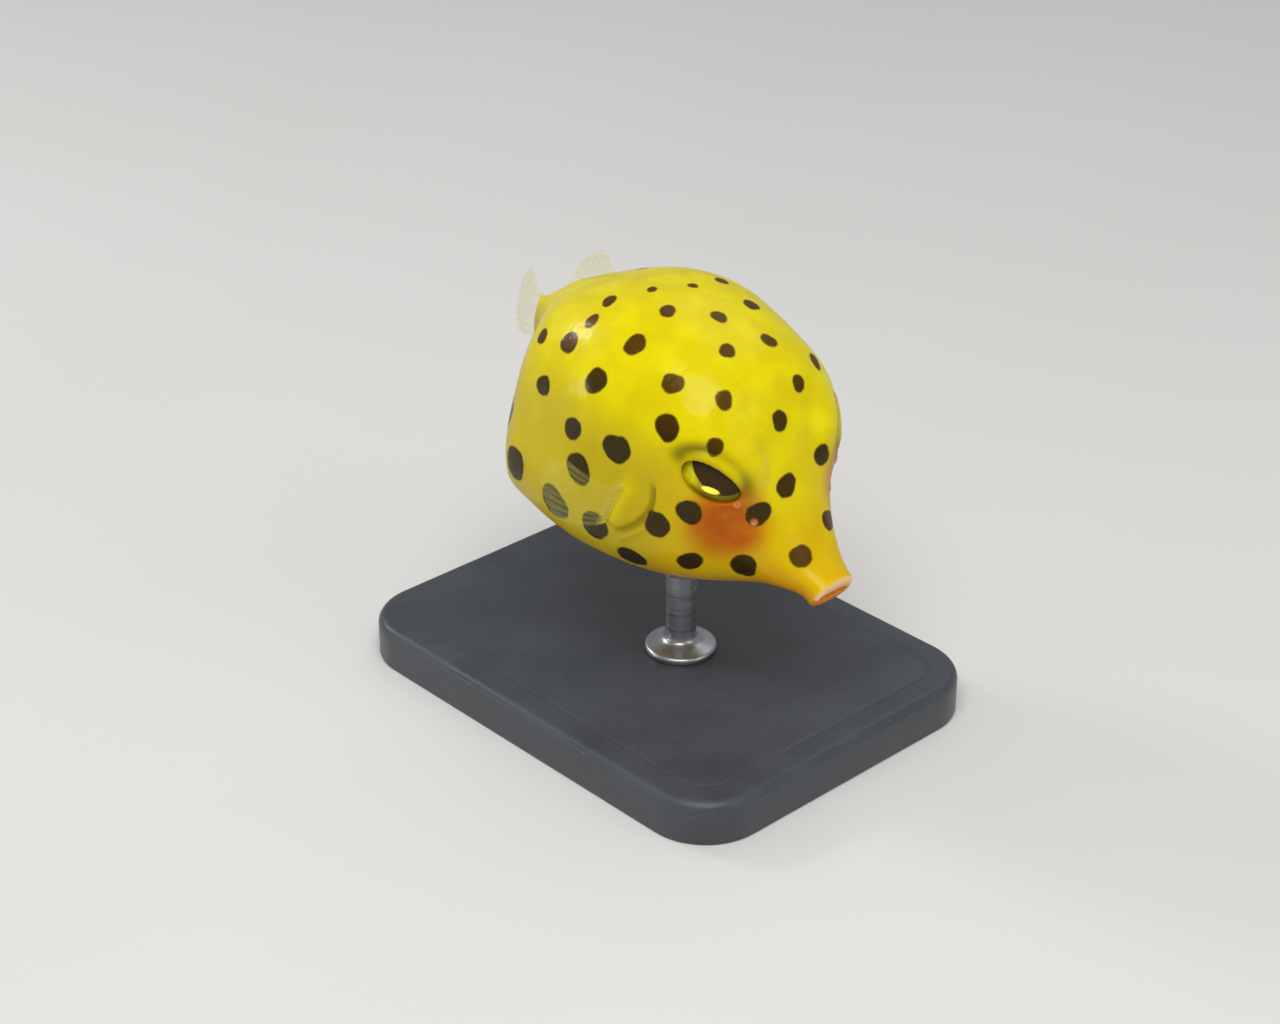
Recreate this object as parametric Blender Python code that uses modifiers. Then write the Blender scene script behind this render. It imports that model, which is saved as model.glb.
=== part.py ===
# Yellow boxfish, a juvenile about 36 mm long, as a still museum model on a plain stand.
# The fish is laid out in its own frame, in millimetres: +X towards the lips, +Y to its
# left, +Z up, with the origin in the middle of the bony case. One empty then tips it nose
# down and lifts it over the stand, whose underside is the floor plane.
import math

import bmesh
import bpy
import numpy as np
from mathutils import Matrix, Vector

MM = 0.001  # metres in a millimetre
GAP = 0.3  # kept between pieces that touch, in mm like every size below

# The pose
NOSE_DOWN = math.radians(11.0)
FISH_AT = (3.9, 0.0, 22.0)  # middle of the case over the stand

# The body, as sections: back from a station near the lips, half width, top and bottom heights
STATION_X = 14.0
BODY_SECTIONS = (
    (-0.9, 2.0, -2.9, -5.6),  # lip rim
    (0.1, 2.05, -2.5, -5.1),  # neck of the snout
    (1.9, 2.95, -1.4, -5.1),  # snout
    (4.6, 4.45, 3.0, -6.2),  # forehead and chin
    (7.6, 7.5, 8.1, -7.5),  # eyes
    (11.8, 9.5, 10.5, -8.9),  # gills
    (16.8, 10.5, 11.3, -9.5),  # widest place
    (22.4, 9.85, 10.0, -9.0),  # rear of the flanks
    (26.0, 8.1, 7.9, -7.7),  # dorsal and anal fins
    (28.0, 5.2, 6.6, -5.6),  # rear corners
    (29.2, 3.2, 5.7, -3.8),  # rear wall
    (30.0, 2.0, 4.8, -2.0),  # opening round the tail
)
# How square each section is: back from the station, power of the back, power of the belly,
# lean of the flanks, hollow of the flanks, drop of the back ridges, rise of the belly ridges
BODY_SQUARENESS = (
    (3.4, 2.5, 2.5, 0.02, 0.02, 0.04, 0.04),
    (8.4, 2.95, 2.85, 0.045, 0.035, 0.11, 0.09),
    (15.4, 2.75, 3.2, 0.075, 0.07, 0.15, 0.13),
    (24.0, 3.2, 3.5, 0.17, 0.04, 0.12, 0.10),
    (30.0, 2.2, 2.2, 0.02, 0.0, 0.02, 0.02),
)
SNOUT_END = 0.2  # face behind the lips
SNOUT_LEAN = (0.3, 3.0)  # slope of that face, whose top is ahead, and the length over which it fades
HEAD_END = 11.4
TRUNK_END = 30.0

# The tail root, a fleshy stalk that carries the tail fin
TAIL_ROOT_LENGTH = 1.8
TAIL_ROOT_FRONT = (1.7, 4.4, -1.6)  # half width, top and bottom where it leaves the case
TAIL_ROOT_BACK = (0.7, 2.8, -1.0)  # the same where the fin begins

# The eyes, flattened balls that face outwards and forwards under a sloping brow
EYE_CENTRE = (6.0, 4.85, 3.24)  # ahead of the middle, out to the side, up
EYE_RADIUS = 2.9
EYE_BULGE = 1.5  # half thickness of the flattened ball
EYE_FORWARD = math.radians(37.5)
EYE_UPWARD = math.radians(8.0)
LID_THICKNESS = 0.35
LID_SLOPE = math.radians(24.0)
BROW_BLEND = 7.0  # the higher, the more sharply the skin rises round the eye
BROW_REACH = (0.6, 2.0)  # share of the rise level with the eye's middle, and its growth outwards
OPENING_DEPTH = 0.8  # how far out of the middle of the eye its opening starts
OPENING_HALF_WIDTH = 2.6
OPENING_RISE = 0.8  # from the middle of the eye up to the upper lid
OPENING_DROP = 1.3  # and down to the lower lid
OPENING_FLARE = 0.2

# The nostrils, two on each side, in front of the eye
NOSTRILS = ((5.7, math.radians(29.0)), (4.4, math.radians(28.0)))  # back, turn round the body
NOSTRIL_RING = 0.36
NOSTRIL_LIP = 0.16
NOSTRIL_PIT = 0.3

# The mouth, a small slot between two rolled lips
MOUTH_HEIGHT = -4.25
LIP_HALF_WIDTH = 2.0
LIP_HALF_HEIGHT = 1.35
LIP_DEPTH = 0.8
LIP_ROLL_MIDDLE = 0.52
LIP_ROLL_CORNER = 0.36
MOUTH_CAVITY = (1.3, 1.0, 0.36)  # deep, half wide, half high

# The gill slit, from its upper end down: back from the station, height
GILL_ROUTE = ((10.35, 2.3), (10.05, 0.9), (10.2, -0.6), (10.9, -1.9), (11.9, -3.0), (12.7, -3.8))
GILL_WIDTH = 0.42
GILL_END_WIDTH = 0.2  # share of the width left at both ends
GILL_DEPTH = 0.7

# The fins: their membranes thin towards the tips, and their rays are ridges
MEMBRANE_ROOT = 0.6
MEMBRANE_TIP = 0.34
RAY_RIDGE = 0.24
RAY_TAPER = 0.6  # share of a ridge's height lost at its tip
TAIL_FIN = {"rays": 10, "length": 3.0, "half_root": 1.7, "half_tip": 2.9, "sway": 0.5}
TAIL_FIN_ROUNDING = (0.05, 0.13)  # share of its length lost at its corners, gently and sharply
DORSAL_FIN = {"rays": 9, "front": 24.6, "back": 27.6, "lean": (20.0, -28.0), "length": 3.0, "sway": 0.5}
ANAL_FIN = {"rays": 9, "front": 24.8, "back": 27.4, "lean": (22.0, -26.0), "length": 2.8, "sway": -0.4}
MIDLINE_FIN_OUTLINE = (0.78, 0.55, -0.62)  # length of the rays from front to back, as a parabola
SIDE_FIN = {"rays": 10, "top": (12.3, 0.9), "bottom": (13.3, -2.8), "length": 5.4, "tip_half": 2.4}
SIDE_FIN_OUTLINE = (1.0, -0.10, -0.22)  # length of the rays from top to bottom, the same way
SIDE_FIN_LIFT = 1.5  # how far it stands off the flank
SIDE_FIN_TURN = 0.25  # share of its length over which it leaves the flank squarely
SIDE_FIN_BASE = (0.5, 0.16)  # thickness added by the fleshy base, and share of the length it fades over

# The stand
BASE_SIZE = (40.0, 30.0, 3.5)
BASE_CORNER = 5.0
BASE_EDGE = 0.8
ROD_AT = (2.0, 0.0)
ROD_RADIUS = 1.2
ROD_FOOT = (2.8, 1.0)  # radius and height of the flange
ROD_CUP = (2.4, 2.2)  # radius and height of the cup under the belly
ROD_FLARE = 1.4  # height over which the rod widens into the cup
ROD_TOP = 14.5  # before the belly is cut out of it

# How fine the meshes are
RING_POINTS = 56
HEAD_RINGS = 20
TRUNK_RINGS = 20
BELLY_RINGS = 32
EYE_MESH = (24, 12)
SOCKET_MESH = (30, 16)
MOUTH_MESH = (20, 10)
PIT_MESH = (10, 6)
OPENING_POINTS = 32
GILL_MESH = (15, 10)
LIP_MESH = (23, 12)
TAIL_ROOT_MESH = (7, 28)
FIN_ROWS = 7
STEPS_PER_RAY = 4
SMOOTH_BELOW = 40.0  # degrees between faces, past which an edge stays sharp
SHORTEST_EDGE = 0.001

# Colours: red, green, blue, roughness, metallic
SKIN_YELLOW = (0.80, 0.66, 0.01, 0.35, 0.0)
LIP_PINK = (0.90, 0.45, 0.20, 0.35, 0.0)
LIP_ORANGE = (0.80, 0.33, 0.03, 0.35, 0.0)
EYE_DARK = (0.04, 0.03, 0.01, 0.10, 0.0)
FIN_CLEAR = (0.78, 0.74, 0.22, 0.30, 0.0)
BASE_SLATE = (0.09, 0.09, 0.10, 0.45, 0.0)
ROD_STEEL = (0.62, 0.62, 0.62, 0.30, 1.0)


# Tools for curves and meshes

def fair_curve(x, knots, values):
    # Natural cubic spline through the knots: no bend at its two ends.
    knots = np.asarray(knots, float)
    values = np.asarray(values, float)
    steps = np.diff(knots)
    slopes = np.diff(values) / steps
    count = len(knots)
    system = np.eye(count)
    right = np.zeros(count)
    for i in range(1, count - 1):
        system[i, i - 1: i + 2] = steps[i - 1], 2 * (steps[i - 1] + steps[i]), steps[i]
        right[i] = 6 * (slopes[i] - slopes[i - 1])
    bend = np.linalg.solve(system, right)
    i = np.clip(np.searchsorted(knots, x) - 1, 0, count - 2)
    h = steps[i]
    a = (knots[i + 1] - x) / h
    b = (x - knots[i]) / h
    curved = ((a**3 - a) * bend[i] + (b**3 - b) * bend[i + 1]) * h * h / 6
    return a * values[i] + b * values[i + 1] + curved


def unit(vectors):
    return vectors / np.linalg.norm(vectors, axis=-1, keepdims=True)


def body_point(back, turn, grow=0.0):
    # A point of the skin: back from the station, turned from the left flank over the back.
    # The section is a superellipse whose flanks lean in and whose ridges are rounded off;
    # at the snout it also leans forwards at the top.
    back, turn = np.broadcast_arrays(np.asarray(back, float), np.asarray(turn, float))
    table = np.array(BODY_SECTIONS)
    half, top, bottom = (fair_curve(back, table[:, 0], table[:, i]) for i in (1, 2, 3))
    shape = np.array(BODY_SQUARENESS)
    looks = [np.interp(back, shape[:, 0], shape[:, i]) for i in range(1, 7)]
    back_power, belly_power, lean, hollow, back_drop, belly_rise = looks
    across, up = np.cos(turn), np.sin(turn)
    power = np.where(up > 0, back_power, belly_power)
    reach = (np.abs(across) ** power + np.abs(up) ** power) ** (-1 / power)
    across, up = across * reach, up * reach
    ridge = np.where(up > 0, back_drop, belly_rise)
    y = (half + grow) * across * (1 - lean * up) * (1 - hollow * (1 - up**2))
    z = (top + bottom) / 2 + ((top - bottom) / 2 + grow) * up * (1 - ridge * across**2)
    slope, fade = SNOUT_LEAN
    slant = slope * np.clip(1 - (back - SNOUT_END) / fade, 0, 1) ** 2
    return np.stack([STATION_X - back + slant * (z - MOUTH_HEIGHT), y, z], axis=-1)


def body_normal(back, turn):
    # Outward direction of the skin, from its two tangents.
    step = 0.01
    along = body_point(back - step, turn) - body_point(back + step, turn)
    round_it = body_point(back, turn + step) - body_point(back, turn - step)
    return unit(np.cross(round_it, along))


def turn_at_height(back, height):
    # Turn round the body, on the left flank, where the skin has a given height.
    turns = np.linspace(-1.4, 1.4, 561)
    heights = body_point(back, turns)[:, 2]
    return float(np.interp(height, heights, turns))


def make_material(name, look):
    material = bpy.data.materials.new(name)
    material.use_nodes = True
    shader = material.node_tree.nodes["Principled BSDF"]
    shader.inputs["Base Color"].default_value = (*look[:3], 1)
    shader.inputs["Roughness"].default_value = look[3]
    shader.inputs["Metallic"].default_value = look[4]
    material.diffuse_color = (*look[:3], 1)
    return material


def dress(piece, look):
    piece.data.materials.clear()
    piece.data.materials.append(make_material(piece.name + "_finish", look))


def add_object(name, mesh, collection, origin=(0, 0, 0), parent=None, look=None):
    # The mesh's points are given in the parent's frame, and the object stands at its origin.
    mesh.transform(Matrix.Translation(-Vector(origin)))
    piece = bpy.data.objects.new(name, mesh)
    piece.location = origin
    piece.parent = parent
    collection.objects.link(piece)
    if look:
        dress(piece, look)
    return piece


def mesh_from(name, points, faces):
    # A mesh in metres from points in millimetres, turned outwards. It is split into triangles,
    # because faces that aren't flat could cross one another once they are cut.
    mesh = bpy.data.meshes.new(name)
    mesh.from_pydata((np.asarray(points) * MM).tolist(), [], faces)
    work = bmesh.new()
    work.from_mesh(mesh)
    bmesh.ops.recalc_face_normals(work, faces=work.faces)
    bmesh.ops.triangulate(work, faces=work.faces)
    work.to_mesh(mesh)
    work.free()
    return mesh


def loft_mesh(name, rings):
    # Closed skin over rings of points, with a middle point in each end cap.
    rings = np.asarray(rings)
    rows, count = rings.shape[:2]
    points = rings.reshape(-1, 3).tolist()
    points += [rings[0].mean(axis=0).tolist(), rings[-1].mean(axis=0).tolist()]
    faces = []
    for c in range(count):
        d = (c + 1) % count
        for r in range(rows - 1):
            faces.append((r * count + c, r * count + d, (r + 1) * count + d, (r + 1) * count + c))
        faces.append((rows * count, d, c))
        faces.append((rows * count + 1, (rows - 1) * count + c, (rows - 1) * count + d))
    return mesh_from(name, points, faces)


def sheet_mesh(name, middle, half_thickness, root_out=None):
    # A thick sheet on both sides of its middle surface, split into triangles alike on both.
    # Where the surface at its root faces root_out, the root's face is laid flat on that.
    rows, cols = middle.shape[:2]
    out = np.cross(np.gradient(middle, axis=1), np.gradient(middle, axis=0))
    if root_out is not None:
        out[0] -= (out[0] * root_out).sum(axis=-1, keepdims=True) * root_out
    offset = unit(out) * half_thickness[..., None]
    points = np.concatenate([(middle + offset).reshape(-1, 3), (middle - offset).reshape(-1, 3)])
    far = rows * cols
    faces = []
    for r in range(rows - 1):
        for c in range(cols - 1):
            a, b = r * cols + c, r * cols + c + 1
            d, e = a + cols, b + cols
            faces += [(a, b, e), (a, e, d), (far + a, far + e, far + b), (far + a, far + d, far + e)]
    rim = [c for c in range(cols)]
    rim += [r * cols + cols - 1 for r in range(1, rows)]
    rim += [(rows - 1) * cols + c for c in range(cols - 2, -1, -1)]
    rim += [r * cols for r in range(rows - 2, 0, -1)]
    for a, b in zip(rim, rim[1:] + rim[:1]):
        faces += [(a, far + b, b), (a, far + a, far + b)]
    return mesh_from(name, points, faces)


def ball_mesh(name, centre, radii, detail, turn=Matrix.Identity(4)):
    # An ellipsoid with its poles along its own Z.
    place = Matrix.Translation(Vector(centre) * MM)
    matrix = place @ turn @ Matrix.Diagonal((*[r * MM for r in radii], 1))
    work = bmesh.new()
    segments, rings = detail
    bmesh.ops.create_uvsphere(work, u_segments=segments, v_segments=rings, radius=1, matrix=matrix)
    mesh = bpy.data.meshes.new(name)
    work.to_mesh(mesh)
    work.free()
    return mesh


def torus_mesh(name, centre, axis, radius, thickness):
    # A torus round an axis.
    bpy.ops.mesh.primitive_torus_add(
        major_segments=12, minor_segments=6, major_radius=radius * MM, minor_radius=thickness * MM)
    made = bpy.context.active_object
    mesh = made.data
    bpy.data.objects.remove(made)
    mesh.name = name
    turn = Vector((0, 0, 1)).rotation_difference(Vector(axis)).to_matrix().to_4x4()
    mesh.transform(Matrix.Translation(Vector(centre) * MM) @ turn)
    return mesh


def keep_largest(mesh):
    # Keeps the largest closed surface of a mesh, without edges too short to see.
    work = bmesh.new()
    work.from_mesh(mesh)
    work.faces.ensure_lookup_table()
    seen = set()
    islands = []
    for start in work.faces:
        if start.index in seen:
            continue
        seen.add(start.index)
        island = [start]
        for face in island:
            for edge in face.edges:
                for other in edge.link_faces:
                    if other.index not in seen:
                        seen.add(other.index)
                        island.append(other)
        islands.append(island)
    islands.sort(key=lambda island: sum(face.calc_area() for face in island))
    scraps = [face for island in islands[:-1] for face in island]
    bmesh.ops.delete(work, geom=scraps, context="FACES")
    bmesh.ops.dissolve_degenerate(work, edges=work.edges, dist=SHORTEST_EDGE * MM)
    work.to_mesh(mesh)
    work.free()


def combine(piece, collection, operation):
    # One Boolean with every object of a collection, applied.
    tool = piece.modifiers.new(operation.title(), "BOOLEAN")
    tool.operation = operation
    tool.operand_type = "COLLECTION"
    tool.collection = collection
    tool.solver = "EXACT"
    bpy.context.view_layer.update()
    finished = piece.evaluated_get(bpy.context.evaluated_depsgraph_get())
    mesh = bpy.data.meshes.new_from_object(finished)
    piece.modifiers.clear()
    piece.data = mesh
    keep_largest(mesh)


def remove_all(collection):
    for piece in list(collection.objects):
        bpy.data.objects.remove(piece)
    bpy.data.collections.remove(collection)


def smooth(piece, angle=SMOOTH_BELOW):
    piece.data.shade_smooth()
    piece.data.set_sharp_from_angle(angle=math.radians(angle))


# The fish

def body_rings(front, back, count, grow=0.0):
    backs = np.linspace(front, back, count)[:, None]
    turns = np.linspace(0, 2 * np.pi, RING_POINTS, endpoint=False)[None, :]
    return body_point(backs, turns, grow)


def eye_frame(side):
    # Middle of the eye, with its level, upward and outward directions as rows.
    forward, upward = EYE_FORWARD, EYE_UPWARD
    out = (math.sin(forward) * math.cos(upward), math.cos(forward) * math.cos(upward), math.sin(upward))
    level = (math.cos(forward), -math.sin(forward), 0)
    up = np.cross(level, out)
    frame = np.array([level, up, out]) * (1, side, 1)
    return np.array(EYE_CENTRE) * (1, side, 1), frame


def eye_ball_mesh(name, side, extra, detail):
    # The flattened ball of the eye, larger by an extra all round.
    centre, frame = eye_frame(side)
    if side > 0:
        frame[0] *= -1  # keeps the ball's faces pointing out
    turn = Matrix(frame.tolist()).transposed().to_4x4()
    radii = (EYE_RADIUS + extra, EYE_RADIUS + extra, EYE_BULGE + extra)
    return ball_mesh(name, centre, radii, detail, turn)


def swell_round_eyes(points):
    # Pushes the skin out round each eye, so that it rises smoothly into the brow and lids.
    lid = GAP + LID_THICKNESS
    radii = np.array([EYE_RADIUS + lid, EYE_RADIUS + lid, EYE_BULGE + lid])
    for side in (1, -1):
        centre, frame = eye_frame(side)
        away = points - centre
        local = away @ frame.T / radii
        distance = np.linalg.norm(local, axis=-1, keepdims=True)
        swollen = (distance**BROW_BLEND + 1) ** (1 / BROW_BLEND)
        outside = np.clip(BROW_REACH[0] + BROW_REACH[1] * local[..., 2:], 0, 1)
        points = centre + away * (1 + (swollen / distance - 1) * outside)
    return points


def add_eye(side, name, parts, fish):
    centre, _ = eye_frame(side)
    eye = add_object(name, eye_ball_mesh(name, side, 0, EYE_MESH), parts, Vector(centre) * MM, fish, EYE_DARK)
    smooth(eye)


def lid_axes(side):
    # Along the upper lid's edge, up from it, and out of the eye.
    centre, (level, up, out) = eye_frame(side)
    along = level * math.cos(LID_SLOPE) - up * math.sin(LID_SLOPE)
    rise = level * math.sin(LID_SLOPE) + up * math.cos(LID_SLOPE)
    return centre, along, rise, out


def opening_mesh(side):
    # A stub of a flaring oval bar along the eye's axis, deeper below the middle than above it.
    centre, along, rise, out = lid_axes(side)
    a = np.linspace(0, 2 * np.pi, OPENING_POINTS, endpoint=False)[:, None]
    half_height = np.where(np.sin(a) > 0, OPENING_RISE, OPENING_DROP)
    rings = []
    for depth in (0, EYE_BULGE + LID_THICKNESS):
        flare = OPENING_FLARE * depth
        ring = (OPENING_HALF_WIDTH + flare) * np.cos(a) * along + (half_height + flare) * np.sin(a) * rise
        rings.append(centre + ring + out * (OPENING_DEPTH + depth))
    return loft_mesh("opening", rings)


def add_eye_cutters(side, cutters, fish):
    add_object("socket", eye_ball_mesh("socket", side, GAP, SOCKET_MESH), cutters, parent=fish)
    add_object("opening", opening_mesh(side), cutters, parent=fish)


def nostril_places(side):
    # Each nostril's middle on the swollen skin and its outward direction, from two tangents.
    step = 0.01
    for back, turn in NOSTRILS:
        angle = turn if side > 0 else math.pi - turn
        backs = np.array([back, back - step, back + step, back, back])
        turns = np.array([angle, angle, angle, angle + step, angle - step])
        at, fore, rear, over, under = swell_round_eyes(body_point(backs, turns))
        yield at, unit(np.cross(over - under, fore - rear))


def add_nostrils(side, growths, cutters, fish):
    for at, out in nostril_places(side):
        ring = torus_mesh("nostril_ring", at, out, NOSTRIL_RING, NOSTRIL_LIP)
        add_object("nostril_ring", ring, growths, parent=fish)
        pit = ball_mesh("nostril_pit", at, (NOSTRIL_PIT, NOSTRIL_PIT, NOSTRIL_PIT), PIT_MESH)
        add_object("nostril_pit", pit, cutters, parent=fish)


def gill_blade(side):
    # A thin curved blade along the gill slit, sunk into the flank.
    steps, points = GILL_MESH
    knots = np.linspace(0, 1, len(GILL_ROUTE))
    t = np.linspace(0, 1, steps)
    route = np.array(GILL_ROUTE)
    back = fair_curve(t, knots, route[:, 0])
    height = fair_curve(t, knots, route[:, 1])
    turn = np.array([turn_at_height(b, z) for b, z in zip(back, height)])
    at = body_point(back, turn)
    out = body_normal(back, turn)
    along = unit(np.gradient(at, axis=0))
    across = unit(np.cross(along, out))
    swell = np.sqrt(np.clip(1 - (2 * t - 1) ** 4, GILL_END_WIDTH**2, 1))[:, None]
    a = np.linspace(0, 2 * np.pi, points, endpoint=False)
    rings = at[:, None] + across[:, None] * (np.cos(a)[None, :, None] * swell[:, None] * GILL_WIDTH / 2)
    rings = rings + out[:, None] * (np.sin(a)[None, :, None] * swell[:, None] * GILL_DEPTH)
    rings[..., 1] *= side
    return loft_mesh("gill_slit", rings)


def add_head(parts, growths, cutters, gill_cutters, fish):
    rings = body_rings(SNOUT_END, HEAD_END, HEAD_RINGS)
    rings[1:-1] = swell_round_eyes(rings[1:-1])
    head = add_object("head", loft_mesh("head", rings), parts, parent=fish)
    for side in (1, -1):
        add_eye_cutters(side, cutters, fish)
        add_nostrils(side, growths, cutters, fish)
        add_object("gill_slit", gill_blade(side), gill_cutters, parent=fish)
    mouth = (STATION_X - SNOUT_END, 0, MOUTH_HEIGHT)
    add_object("mouth", ball_mesh("mouth", mouth, MOUTH_CAVITY, MOUTH_MESH), cutters, parent=fish)
    combine(head, growths, "UNION")
    remove_all(growths)
    combine(head, cutters, "DIFFERENCE")
    combine(head, gill_cutters, "DIFFERENCE")
    dress(head, SKIN_YELLOW)
    smooth(head)


def add_trunk(parts, gill_cutters, fish):
    rings = body_rings(HEAD_END + GAP, TRUNK_END, TRUNK_RINGS)
    trunk = add_object("trunk", loft_mesh("trunk", rings), parts, parent=fish)
    combine(trunk, gill_cutters, "DIFFERENCE")
    dress(trunk, SKIN_YELLOW)
    smooth(trunk)


def tail_root_rings():
    # Ovals that taper from the case's opening to the root of the tail fin.
    steps, points = TAIL_ROOT_MESH
    t = np.linspace(0, 1, steps)[:, None]
    ease = t * t * (3 - 2 * t)
    front, back = np.array(TAIL_ROOT_FRONT), np.array(TAIL_ROOT_BACK)
    half, top, bottom = ((front[i] + (back[i] - front[i]) * ease) for i in range(3))
    a = np.linspace(0, 2 * np.pi, points, endpoint=False)[None, :]
    x = STATION_X - TRUNK_END - GAP - TAIL_ROOT_LENGTH * t + 0 * a
    return np.stack([x, half * np.cos(a), (top + bottom) / 2 + (top - bottom) / 2 * np.sin(a)], axis=-1)


def add_tail_root(parts, fish):
    rings = tail_root_rings()
    origin = Vector(rings[0].mean(axis=0)) * MM
    root = add_object("tail_peduncle", loft_mesh("tail_peduncle", rings), parts, origin, fish, SKIN_YELLOW)
    smooth(root)


def fin_grid(rays):
    # How far out along the rays, how far across them, and the height of the ray ridges.
    # The rows lie closer together near the root, where a fin bends most.
    u = np.linspace(0, 1, FIN_ROWS)[:, None] ** 1.4
    v = np.linspace(0, 1, rays * STEPS_PER_RAY + 1)[None, :]
    u, v = np.broadcast_arrays(u, v)
    ridge = (0.5 - 0.5 * np.cos(2 * np.pi * rays * v)) * (1 - RAY_TAPER * u)
    return u, v, ridge


def fin_half_thickness(u, ridge):
    membrane = MEMBRANE_ROOT + (MEMBRANE_TIP - MEMBRANE_ROOT) * u**2
    return membrane / 2 + RAY_RIDGE / 2 * ridge


def add_fin(name, middle, half, parts, fish, skin_out=None):
    # The fin's origin is the middle of its root.
    origin = Vector(middle[0].mean(axis=0)) * MM
    fin = add_object(name, sheet_mesh(name, middle, half, skin_out), parts, origin, fish, FIN_CLEAR)
    smooth(fin)


def add_tail_fin(parts, fish):
    # A rounded fan behind the tail root, swung slightly to one side.
    size = TAIL_FIN
    u, v, ridge = fin_grid(size["rays"])
    w = 2 * v - 1
    start = STATION_X - TRUNK_END - TAIL_ROOT_LENGTH - 2 * GAP
    centre = (TAIL_ROOT_BACK[1] + TAIL_ROOT_BACK[2]) / 2
    gentle, sharp = TAIL_FIN_ROUNDING
    reach = size["length"] * (1 - gentle * w**2 - sharp * w**4)
    x = start - reach * u
    z = centre + w * (size["half_root"] + (size["half_tip"] - size["half_root"]) * u**0.8)
    y = size["sway"] * u**2 * (1 + 0.4 * w)
    add_fin("caudal_fin", np.stack([x, y, z], axis=-1), fin_half_thickness(u, ridge), parts, fish)


def add_midline_fin(name, size, up, parts, fish):
    # A fan that leans back from the midline of the back (up is 1) or of the belly (up is -1).
    u, v, ridge = fin_grid(size["rays"])
    back = size["front"] + (size["back"] - size["front"]) * v
    root = body_point(back, up * math.pi / 2)
    lean = np.radians(size["lean"][0] + (size["lean"][1] - size["lean"][0]) * v)
    front, rise, fall = MIDLINE_FIN_OUTLINE
    reach = size["length"] * (front + rise * v + fall * v**2) * u
    x = root[..., 0] - reach * np.cos(lean)
    z = root[..., 2] + up * (GAP + reach * np.sin(lean))
    y = size["sway"] * u**2 * np.sin(np.pi * (1 + 4 * v) / 5)
    add_fin(name, np.stack([x, y, z], axis=-1), fin_half_thickness(u, ridge), parts, fish)


def add_side_fin(side, name, parts, fish):
    # A fan that leaves the flank squarely, on a fleshy base, and bends back along it.
    size = SIDE_FIN
    u, v, ridge = fin_grid(size["rays"])
    w = 2 * v - 1
    top, bottom = np.array(size["top"]), np.array(size["bottom"])
    run = (1 + SIDE_FIN_TURN) * u * u / (u + SIDE_FIN_TURN)
    whole, slant, rounding = SIDE_FIN_OUTLINE
    reach = size["length"] * (whole + slant * w + rounding * w**2)
    back = top[0] + (bottom[0] - top[0]) * v + reach * run
    half_root = (top[1] - bottom[1]) / 2
    height = (top[1] + bottom[1]) / 2 - w * (half_root + (size["tip_half"] - half_root) * run)
    turn = np.array([[turn_at_height(b, z) for b, z in zip(*row)] for row in zip(back, height)])
    skin_out = body_normal(back, turn)
    lift = GAP + SIDE_FIN_LIFT * (1 - (1 - u) ** 4)
    middle = body_point(back, turn) + skin_out * lift[..., None]
    base_thickness, base_length = SIDE_FIN_BASE
    base = base_thickness * np.exp(-((u / base_length) ** 2)) * (1 - w**4 / 2)
    half = fin_half_thickness(u, ridge * np.clip(u / SIDE_FIN_TURN, 0, 1)) + base / 2
    mirror = np.array([1, side, 1])
    add_fin(name, middle * mirror, half, parts, fish, skin_out[0] * mirror)


def add_lip(name, up, look, parts, fish):
    # A rolled lip: an oval bead along half of the mouth's oval, thinner at the corners.
    steps, points = LIP_MESH
    s = np.linspace(0, math.pi, steps)
    roll = LIP_ROLL_CORNER + (LIP_ROLL_MIDDLE - LIP_ROLL_CORNER) * np.sin(s) ** 1.5
    middle = STATION_X - SNOUT_END + GAP + LIP_DEPTH / 2
    height = up * (GAP / 2 + (LIP_HALF_HEIGHT - GAP / 2 - roll) * np.sin(s))
    path = np.stack([middle + 0 * s, (LIP_HALF_WIDTH - roll) * np.cos(s), MOUTH_HEIGHT + height], axis=-1)
    out = unit(np.stack([0 * s, np.cos(s) * LIP_HALF_HEIGHT, up * np.sin(s) * LIP_HALF_WIDTH], axis=-1))
    a = np.linspace(0, 2 * np.pi, points, endpoint=False)
    fore = np.array([LIP_DEPTH / 2, 0, 0])
    rings = path[:, None] + out[:, None] * (np.cos(a)[None, :, None] * roll[:, None, None])
    rings = rings + fore * np.sin(a)[None, :, None]
    rings[..., 0] += SNOUT_LEAN[0] * (rings[..., 2] - MOUTH_HEIGHT)
    origin = Vector((middle, 0, MOUTH_HEIGHT)) * MM
    smooth(add_object(name, loft_mesh(name, rings), parts, origin, fish, look))


# The stand

def add_base(parts):
    # A slab whose upright corners are rounded off first, and then its upper edge.
    length, width, height = BASE_SIZE
    shape = Matrix.Translation((0, 0, height / 2 * MM)) @ Matrix.Diagonal((length, width, height, 1))
    work = bmesh.new()
    bmesh.ops.create_cube(work, size=MM, matrix=shape)
    upright = [edge for edge in work.edges if abs(edge.verts[0].co.z - edge.verts[1].co.z) > MM]
    bmesh.ops.bevel(work, geom=upright, offset=BASE_CORNER * MM, segments=7, profile=0.5, affect="EDGES")
    top = [edge for edge in work.edges if min(vertex.co.z for vertex in edge.verts) > height / 2 * MM]
    bmesh.ops.bevel(work, geom=top, offset=BASE_EDGE * MM, segments=3, profile=0.5, affect="EDGES")
    mesh = bpy.data.meshes.new("stand_base")
    work.to_mesh(mesh)
    work.free()
    smooth(add_object("stand_base", mesh, parts, look=BASE_SLATE))


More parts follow.
